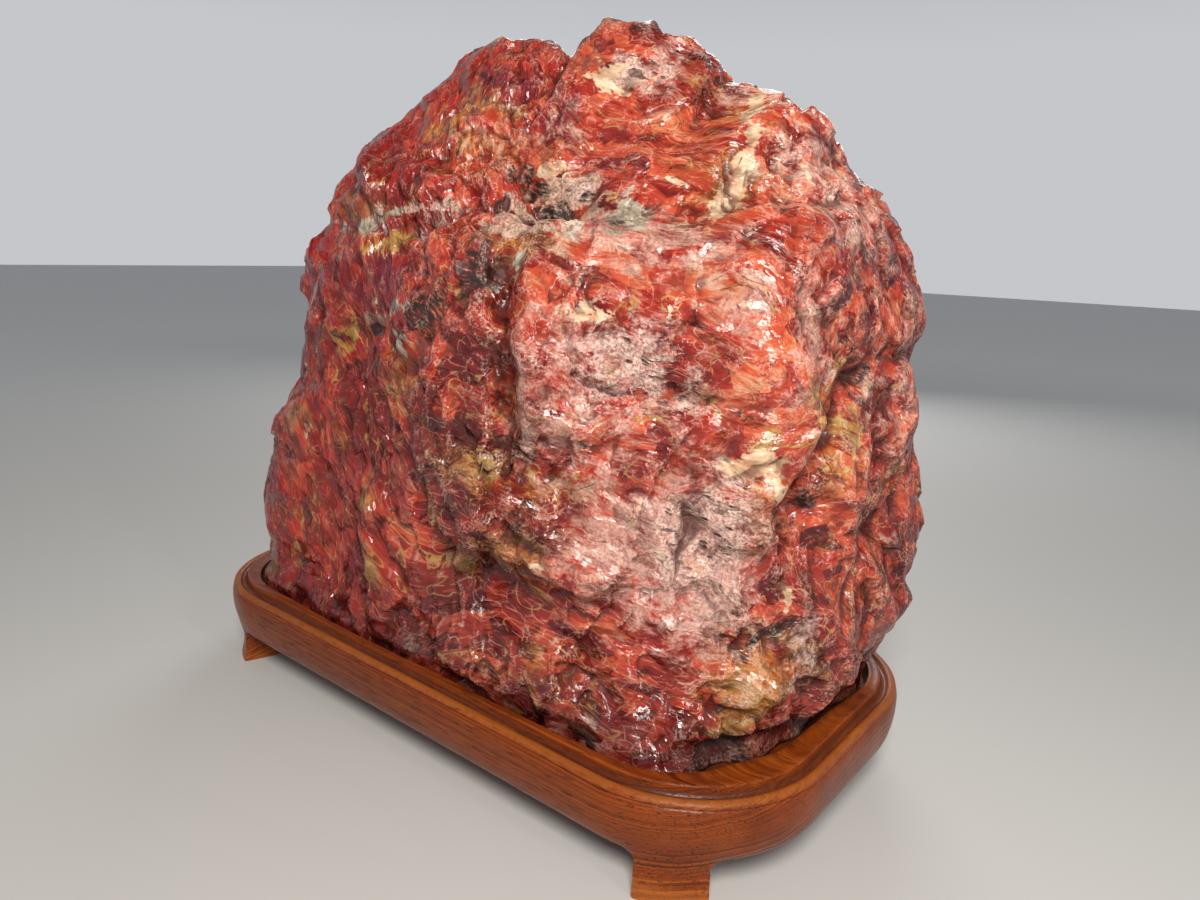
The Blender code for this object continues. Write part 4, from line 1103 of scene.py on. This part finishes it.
def make_stand():
    """The stand: a section that changes from plain wall to foot is carried round the rim's line."""
    turn = np.degrees(foot_offsets() / CORNER_RADIUS)
    angles = np.unique(np.round(np.concatenate([
        np.arange(0, 91, RIM_TURN_STEP), FOOT_TURN + turn[FOOT_TURN + turn < 90], FOOT_TURN - turn,
    ]), 4))
    rim, outwards, offsets = rim_stations(angles, CUTS_ALONG_SIDE, CUTS_ALONG_END)
    seat = seat_inset(np.arctan2(rim[:, 1], rim[:, 0]))
    share = foot_share(offsets)
    along = np.stack([-outwards[:, 1], outwards[:, 0]], 1)
    on_foot = np.where(np.abs(offsets) <= FOOT_HALF_WIDTH + FOOT_FILLET, offsets, 0.0)
    on_foot *= 1 - ease(np.abs(offsets), FOOT_HALF_WIDTH, FOOT_HALF_WIDTH + FOOT_SIDE_FADE)
    rows, wear_and_shade = [], []
    for section in (*seat_rows(seat), *moulding_rows(), *foot_rows(share)):
        inset, height, spread, worn, dark = (np.broadcast_to(part, share.shape) for part in section)
        flat = rim - outwards * inset[:, None] + along * (on_foot * spread)[:, None]
        rows.append(np.column_stack([flat, height]))
        wear_and_shade.append(np.column_stack([worn, dark]))
    points = np.concatenate(rows)
    stations = len(rim)
    row = np.arange(len(points)).reshape(len(rows), stations)
    ahead = np.roll(row, -1, axis=1)
    quads = np.stack([row[:-1], row[1:], ahead[1:], ahead[:-1]], -1).reshape(-1, 4)
    floor = np.column_stack([row[0], ahead[0], np.full(stations, len(points))])
    under = np.column_stack([ahead[-1], row[-1], np.full(stations, len(points) + 1)])
    height, size, seed = CARVING
    uneven = height * smooth_noise(points / size, seed) * (points[:, 2] > CARVING_START)
    compass = np.arctan2(points[:, 1] / HALF_DEPTH, points[:, 0] / HALF_LENGTH)
    points[:, 0] += uneven * np.cos(compass)
    points[:, 1] += uneven * np.sin(compass)
    points = np.concatenate([points, [[0, 0, SEAT_HEIGHT], [0, 0, UNDERSIDE_HEIGHT]]])
    stand = make_object("carved_wooden_tray", points, quads, np.concatenate([floor, under]))
    stand.data.set_sharp_from_angle(angle=radians(SHARP_ANGLE))
    worn, dark = np.concatenate([*wear_and_shade, np.zeros((2, 2))]).T
    zero = np.zeros(len(points))
    # Paler where worn, and darker for dirt and painted shade in the cove, the quirk and the seat
    add_colours(stand.data, "wear_and_shade", [worn, dark, zero, zero])
    return stand


# Materials


class Finish:
    """The nodes of one material. Sizes are in metres, and each method returns an output socket."""

    def __init__(self, name):
        self.material = bpy.data.materials.new(name)
        self.material.use_nodes = True
        self.tree = self.material.node_tree
        self.shader = self.tree.nodes["Principled BSDF"]
        coordinates = self.tree.nodes.new("ShaderNodeTexCoord")
        self.place = coordinates.outputs["Object"]

    def add(self, kind, output, inputs, **settings):
        node = self.tree.nodes.new(kind)
        for name, value in settings.items():
            setattr(node, name, value)
        for name, value in inputs.items():
            self.feed(node.inputs[name], value)
        return node.outputs[output]

    def feed(self, socket, value):
        if isinstance(value, bpy.types.NodeSocket):
            self.tree.links.new(value, socket)
        elif socket.type == "RGBA":
            socket.default_value = (*value, 1.0)
        else:
            socket.default_value = value

    def math(self, operation, *values):
        return self.add("ShaderNodeMath", 0, dict(enumerate(values)), operation=operation)

    def vector(self, operation, *values, output=0):
        return self.add("ShaderNodeVectorMath", output, dict(enumerate(values)), operation=operation)

    def noise(self, place, size, detail=2.0, roughness=0.5, output=0):
        inputs = {"Vector": place, "Scale": 1 / size, "Detail": detail, "Roughness": roughness}
        return self.add("ShaderNodeTexNoise", output, inputs)

    def cells(self, place, size, feature="F1"):
        """Random cells. The outputs are Distance, Color and Position."""
        inputs = {"Vector": place, "Scale": 1 / size}
        return self.add("ShaderNodeTexVoronoi", 0, inputs, feature=feature).node

    def stretched(self, place, turn, stretch):
        """The place in a frame that is turned by angles in degrees and stretched along its axes."""
        inputs = {"Vector": place, "Rotation": tuple(radians(angle) for angle in turn), "Scale": stretch}
        return self.add("ShaderNodeMapping", 0, inputs, vector_type="TEXTURE")

    def warped(self, place, size, shift, detail=2.0):
        """The place moved by noise along each axis."""
        colour = self.noise(place, size, detail, output=1)
        centred = self.vector("SUBTRACT", colour, (0.5, 0.5, 0.5))
        moved = self.add("ShaderNodeVectorMath", 0, {0: centred, "Scale": shift}, operation="SCALE")
        return self.vector("ADD", place, moved)

    def step(self, value, low, high):
        """0 at the low value, 1 at the high one, smooth between. The low one may be the larger."""
        inputs = {"Value": value, "From Min": low, "From Max": high}
        return self.add("ShaderNodeMapRange", 0, inputs, interpolation_type="SMOOTHSTEP")

    def line(self, value, middle, width):
        """1 where a value is at the middle, falling to 0 at the width to either side."""
        away = self.math("ABSOLUTE", self.math("SUBTRACT", value, middle))
        return self.step(away, width, 0.0)

    def blend(self, share, first, second):
        """A colour from the first to the second by a share."""
        node = self.tree.nodes.new("ShaderNodeMix")
        node.data_type = "RGBA"
        self.feed(node.inputs[0], share)
        self.feed(node.inputs[6], first)
        self.feed(node.inputs[7], second)
        return node.outputs[2]

    def bend(self, share, first, second):
        """A place from the first to the second by a share."""
        node = self.tree.nodes.new("ShaderNodeMix")
        node.data_type = "VECTOR"
        self.feed(node.inputs[0], share)
        self.feed(node.inputs[4], first)
        self.feed(node.inputs[5], second)
        return node.outputs[1]

    def between(self, share, first, second):
        """A number from the first to the second by a share."""
        return self.add("ShaderNodeMapRange", 0, {"Value": share, "To Min": first, "To Max": second})

    def product(self, first, *others):
        for other in others:
            first = self.math("MULTIPLY", first, other)
        return first

    def total(self, first, *others):
        for other in others:
            first = self.math("ADD", first, other)
        return first

    def ramp(self, value, *stops):
        """A colour for each value, from stops of place and colour."""
        node = self.tree.nodes.new("ShaderNodeValToRGB")
        elements = node.color_ramp.elements
        while len(elements) < len(stops):
            elements.new(1.0)
        for element, (place, colour) in zip(elements, stops):
            element.position = place
            element.color = (*colour, 1.0)
        self.feed(node.inputs[0], value)
        return node.outputs[0]

    def channels(self, name):
        """The four numbers that a mesh holds at each point under this name."""
        node = self.tree.nodes.new("ShaderNodeAttribute")
        node.attribute_name = name
        parts = self.tree.nodes.new("ShaderNodeSeparateColor")
        self.feed(parts.inputs[0], node.outputs["Color"])
        return [parts.outputs[0], parts.outputs[1], parts.outputs[2], node.outputs["Alpha"]]

    def facets(self, place, size, slope):
        """Height of small broken flats: in each cell a plane tilted by the cell's own random colour."""
        cell = self.cells(place, size)
        offset = self.vector("SUBTRACT", place, cell.outputs["Position"])
        tilt = self.vector("SUBTRACT", cell.outputs["Color"], (0.5, 0.5, 0.5))
        return self.product(self.vector("DOT_PRODUCT", offset, tilt, output=1), slope)

    def finish(self, colour, roughness, height, shine=0.5):
        self.feed(self.shader.inputs["Base Color"], colour)
        self.feed(self.shader.inputs["Specular IOR Level"], shine)
        self.feed(self.shader.inputs["Roughness"], roughness)
        bump = self.add("ShaderNodeBump", 0, {"Height": height, "Distance": 1.0, "Strength": 1.0})
        self.feed(self.shader.inputs["Normal"], bump)
        return self.material


def jasper_finish():
    """Broken red jasper: drawn-out fragments of crimson to orange red with fine striations, pinkish
    grainy haze, thin pale threads, ochre tints, dull dusty patches with dark slits, dark cracks, and
    the other minerals where they are listed. The grain runs steeply down on the left and nearly
    level on the right."""
    f = Finish("red jasper")
    cream, olive, grey, beige = f.channels("mineral")
    dust, dark, bright, purple = f.channels("finish")
    deep, ochre, haze, smooth = f.channels("tint")
    near, wide, low, left = f.channels("form")

    flow = f.warped(f.place, *FLOW_WARP)
    centred = f.vector("SUBTRACT", flow, PATTERN_MIDDLE)
    steep = f.stretched(centred, *STEEP_RUN)
    level = f.stretched(centred, *LEVEL_RUN)
    run = f.bend(left, level, steep)
    fine_run = f.warped(run, *FINE_WARP)
    long_run = f.vector("MULTIPLY", fine_run, STREAK_DRAW)

    broad = f.noise(f.place, BROAD_SIZE, 1.0)
    mottle = f.noise(fine_run, MOTTLE_SIZE, 3.0, 0.70)
    streak = f.noise(long_run, STREAK_SIZE, 3.0, 0.68)
    grain = f.noise(f.place, GRAIN_SIZE, 2.0, 0.7)
    border = f.noise(flow, BORDER_SIZE, 3.0, 0.64)
    mottle_off = f.math("SUBTRACT", mottle, 0.5)
    border_off = f.math("SUBTRACT", border, 0.5)
    streak_off = f.math("SUBTRACT", streak, 0.5)

    # The red body
    fragment = f.cells(run, FRAGMENT_SIZE)
    tone = f.add("ShaderNodeSeparateColor", 0, {0: fragment.outputs["Color"]})
    tone = f.total(
        f.product(tone, 0.50), 0.07,
        f.product(f.step(broad, 0.36, 0.64), 0.14),
        f.product(bright, 0.18),
        f.product(left, -0.08),
        # Painted shade: darker red where the listed shade patches lie
        f.product(deep, -0.26),
        f.product(mottle_off, 0.60),
        f.product(streak_off, 0.50),
    )
    red = f.ramp(tone, *RED_RAMP)
    red = f.blend(f.product(left, 0.42), red, CRIMSON)
    purple_share = f.step(f.total(purple, border_off), 0.25, 0.80)
    red = f.blend(f.product(purple_share, 0.70), red, PURPLE_RED)

    # Ochre tints along the striations
    ochre_share = f.total(f.product(ochre, 0.80), f.product(border_off, 1.5), f.product(streak_off, 0.9))
    ochre_share = f.step(ochre_share, 0.16, 0.75)
    red = f.blend(f.product(ochre_share, 0.62), red, f.ramp(mottle, *OCHRE_RAMP))

    # Pinkish grainy haze
    haze_share = f.total(
        f.product(haze, 0.60),
        f.product(mottle_off, 1.5),
        f.product(border_off, 0.8),
        f.product(streak_off, 0.8),
        f.product(left, -0.38),
        f.product(deep, -0.35),
    )
    haze_share = f.step(haze_share, 0.10, 0.66)
    haze_colour = f.ramp(grain, *HAZE_RAMP)
    red = f.blend(f.product(haze_share, 0.80), red, haze_colour)

    # Pale striations, threads and a net of veins
    pale_streak = f.product(f.step(streak, 0.60, 0.76), f.between(left, 0.50, 0.26))
    red = f.blend(pale_streak, red, PALE_STREAK)
    thread_field = f.noise(fine_run, THREAD_SIZE, 1.0)
    thread = f.product(f.line(thread_field, 0.50, 0.0060), f.step(border, 0.44, 0.60))
    thread = f.product(thread, f.between(left, 0.55, 0.24))
    red = f.blend(thread, red, f.ramp(border, *THREAD_RAMP))
    ochre_thread = f.product(f.line(thread_field, 0.41, 0.0110), f.step(mottle, 0.38, 0.50))
    red = f.blend(f.product(ochre_thread, 0.72), red, OCHRE_THREAD)
    outline = f.product(f.line(mottle, 0.405, 0.016), f.step(border, 0.46, 0.58))
    red = f.blend(f.product(outline, 0.62), red, DARK_OUTLINE)
    edge = f.cells(fine_run, NET_SIZE, "DISTANCE_TO_EDGE").outputs["Distance"]
    net = f.product(f.step(edge, 0.034, 0.010), f.step(mottle, 0.45, 0.54), f.between(left, 0.38, 0.20))
    red = f.blend(net, red, NET_VEIN)

    # Other minerals where they are listed
    ragged = f.total(f.product(border_off, 1.3), f.product(mottle_off, 1.1), f.product(streak_off, 0.5))

    def patchy(strength, low_edge=0.44, high_edge=0.60, rough=1.0):
        return f.step(f.total(strength, f.product(ragged, rough)), low_edge, high_edge)

    colour = f.blend(f.product(patchy(olive), 0.78), red, f.ramp(mottle, *OLIVE_RAMP))
    beige_share = patchy(beige, 0.40, 0.56)
    beige_most = f.product(beige_share, f.between(left, 0.90, 0.62))
    colour = f.blend(beige_most, colour, f.ramp(grain, *BEIGE_RAMP))
    colour = f.blend(f.product(patchy(grey), 0.82), colour, f.ramp(mottle, *GREY_RAMP))
    colour = f.blend(f.product(patchy(cream), 0.90), colour, f.ramp(mottle, *CREAM_RAMP))

    # Dull dusty patches with small slits
    dust_share = patchy(dust, 0.36, 0.64, 0.8)
    dust_most = f.product(dust_share, f.step(mottle, 0.64, 0.50), 0.94)
    colour = f.blend(dust_most, colour, f.ramp(grain, *DUST_RAMP))
    slit = f.noise(f.stretched(flow, *SLIT_RUN), SLIT_SIZE, 1.0)
    slit = f.product(f.step(slit, 0.37, 0.31), f.step(dust, 0.30, 0.75))

    # Dark stains, partly painted shade in holes and under knobs, cracks, painted shade in hollows and low
    # down, and grains on the worn ridges
    # Dark stains, partly painted shade in holes and under knobs
    stain_and_shade = patchy(dark, 0.40, 0.66, 0.7)
    colour = f.blend(f.product(stain_and_shade, f.step(streak, 0.66, 0.46)), colour, STAIN_AND_SHADE)
    crack_field = f.noise(run, CRACK_SIZE, 2.0)
    crack = f.product(f.line(crack_field, 0.485, 0.0060), f.step(border, 0.50, 0.60))
    # Painted shade in the hollows, near and wide
    hollow = f.total(f.product(f.step(near, 0.54, 0.95), 0.58), f.product(f.step(wide, 0.56, 0.95), 0.30))
    colour = f.blend(hollow, colour, PAINTED_HOLLOW_SHADE)
    ridge = f.product(f.step(near, 0.40, 0.10), f.step(grain, 0.46, 0.60), f.between(left, 0.42, 0.12))
    colour = f.blend(ridge, colour, WORN_RIDGE)
    gap = f.math("MAXIMUM", f.product(slit, 0.92), f.product(crack, 0.80))
    colour = f.blend(gap, colour, CRACK_DARK)
    # Painted shade: darker in the listed shade patches and low down, near the tray
    shade = f.math("MAXIMUM", f.product(deep, 0.42), f.product(low, low, 0.60))
    colour = f.blend(shade, colour, PAINTED_SHADE_RED)
    fleck = f.product(f.step(grain, 0.70, 0.80), f.between(left, 0.50, 0.15))
    colour = f.blend(fleck, colour, FLECK)

    gloss = f.between(f.step(mottle, 0.40, 0.62), 0.11, 0.24)
    gloss = f.total(gloss, f.product(haze_share, 0.09), f.product(hollow, 0.12), f.product(smooth, -0.04))
    earthy = f.math("MAXIMUM", beige_share, stain_and_shade)
    dull = f.math("MAXIMUM", f.product(dust_share, 0.80), f.product(earthy, 0.66))
    roughness = f.math("MAXIMUM", gloss, dull)

    rough_here = f.between(smooth, 1.0, 0.45)
    ridged = f.noise(f.vector("MULTIPLY", run, RIDGE_DRAW), RIDGE_SIZE, 2.0, 0.55)
    height = f.total(
        f.product(f.facets(run, *FACETS), rough_here),
        f.facets(fine_run, *FINE_FACETS),
        f.product(ridged, 0.00060),
        f.product(f.math("SUBTRACT", grain, 0.5), f.between(dust, 0.00010, 0.00065)),
        f.product(slit, -0.0010),
    )
    return f.finish(colour, roughness, height, JASPER_SHINE)


def wood_finish():
    """Oiled red-brown hardwood: rings about a line along X far below the tray, so that the layers
    run nearly level on the walls, dark pores drawn out along X, and paler worn edges."""
    f = Finish("oiled hardwood")
    worn, dark, _, _ = f.channels("wear_and_shade")
    long_grain = f.stretched(f.place, *GRAIN_RUN)
    drifted = f.warped(long_grain, *GRAIN_WARP)
    across = f.vector("MULTIPLY", f.vector("SUBTRACT", drifted, RING_MIDDLE), (0.0, 1.0, 1.0))
    ring = f.vector("LENGTH", across, output=1)
    inputs = {"W": ring, "Scale": RING_COUNT, "Detail": 3.0, "Roughness": 0.70}
    bands = f.add("ShaderNodeTexNoise", 0, inputs, noise_dimensions="1D")
    tone = f.total(bands, f.product(f.math("SUBTRACT", f.noise(long_grain, TONE_SIZE, 3.0), 0.5), 0.55))
    colour = f.ramp(tone, *WOOD_RAMP)
    pore = f.step(f.noise(f.stretched(f.place, *PORE_RUN), PORE_SIZE, 2.0), 0.43, 0.35)
    colour = f.blend(f.product(pore, 0.75), colour, PORE)
    fibre = f.noise(f.stretched(f.place, *FIBRE_RUN), FIBRE_SIZE, 3.0)
    colour = f.blend(f.product(f.step(fibre, 0.5, 0.7), 0.16), colour, PALE_FIBRE)
    patchy = f.noise(f.place, WEAR_SIZE, 4.0, 0.7)
    rubbed = f.step(f.total(worn, f.product(f.math("SUBTRACT", patchy, 0.5), 1.2)), 0.45, 0.95)
    colour = f.blend(f.product(rubbed, 0.42), colour, RUBBED_WOOD)
    # Darker in the cove, the quirk and the seat: dirt and painted shade
    grime_and_shade = f.step(f.total(dark, f.product(f.math("SUBTRACT", patchy, 0.5), 0.8)), 0.35, 0.95)
    colour = f.blend(f.product(grime_and_shade, 0.70), colour, GRIME_AND_SHADE)
    roughness = f.total(f.between(tone, 0.36, 0.26), f.product(rubbed, 0.14), f.product(pore, 0.15))
    height = f.total(f.product(pore, -0.00006), f.product(bands, 0.00012), f.product(fibre, 0.00005))
    return f.finish(colour, roughness, height, WOOD_SHINE)


def floor_finish():
    """A plain pale floor, painted paler far away to make up for the light that falls off there."""
    f = Finish("pale floor")
    far = f.step(f.vector("LENGTH", f.place, output=1), *FLOOR_SPAN)
    f.feed(f.shader.inputs["Base Color"], f.blend(far, FLOOR_NEAR, FLOOR_FAR))
    f.feed(f.shader.inputs["Roughness"], FLOOR_ROUGHNESS)
    return f.material


# The camera, the floor and the light


def make_camera():
    forward, right = Vector(CAMERA_FORWARD).normalized(), Vector(CAMERA_RIGHT).normalized()
    up = right.cross(forward)
    turn = Matrix((right, up, -forward)).transposed().to_4x4()
    data = bpy.data.cameras.new("camera")
    data.sensor_width = SENSOR_WIDTH
    data.lens = FOCAL_PIXELS / IMAGE_WIDTH * SENSOR_WIDTH
    data.clip_start = CLIP_START
    camera = bpy.data.objects.new("camera", data)
    camera.matrix_world = Matrix.Translation(CAMERA_PLACE) @ turn
    bpy.context.scene.collection.objects.link(camera)
    bpy.context.scene.camera = camera


def make_floor():
    half = FLOOR_HALF
    corners = np.array([[-half, -half, 0], [half, -half, 0], [half, half, 0], [-half, half, 0]])
    floor = make_object("floor", corners, np.array([[0, 1, 2, 3]]), np.empty((0, 3), int))
    floor.data.materials.append(floor_finish())


def make_light(name, place, aim, size, power, colour):
    data = bpy.data.lights.new(name, "AREA")
    data.shape = "DISK"
    data.size = size
    data.energy = power
    data.color = colour
    light = bpy.data.objects.new(name, data)
    light.location = place
    light.rotation_mode = "QUATERNION"
    light.rotation_quaternion = (Vector(aim) - Vector(place)).to_track_quat("-Z", "Y")
    bpy.context.scene.collection.objects.link(light)


def make_world():
    """A pale room round the object, darker overhead."""
    world = bpy.data.worlds.new("pale room")
    world.use_nodes = True
    tree = world.node_tree
    background = tree.nodes["Background"]
    background.inputs["Strength"].default_value = ROOM_STRENGTH
    parts = tree.nodes.new("ShaderNodeSeparateXYZ")
    room = tree.nodes.new("ShaderNodeValToRGB")
    for element, (place, colour) in zip(room.color_ramp.elements, ROOM_RAMP):
        element.position = place
        element.color = (*colour, 1.0)
    tree.links.new(tree.nodes.new("ShaderNodeTexCoord").outputs["Generated"], parts.inputs[0])
    tree.links.new(parts.outputs["Z"], room.inputs[0])
    tree.links.new(room.outputs[0], background.inputs["Color"])
    bpy.context.scene.world = world
    bpy.context.scene.view_settings.view_transform = "Standard"


def main():
    stone = make_stone()
    stone.data.materials.append(jasper_finish())
    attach(stone, "root")
    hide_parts("jasper_stone")
    stand = make_stand()
    stand.data.materials.append(wood_finish())
    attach(stand, "root")
    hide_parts("wooden_stand")
    make_camera()
    make_floor()
    for light in LIGHTS:
        make_light(*light)
    make_world()


main()
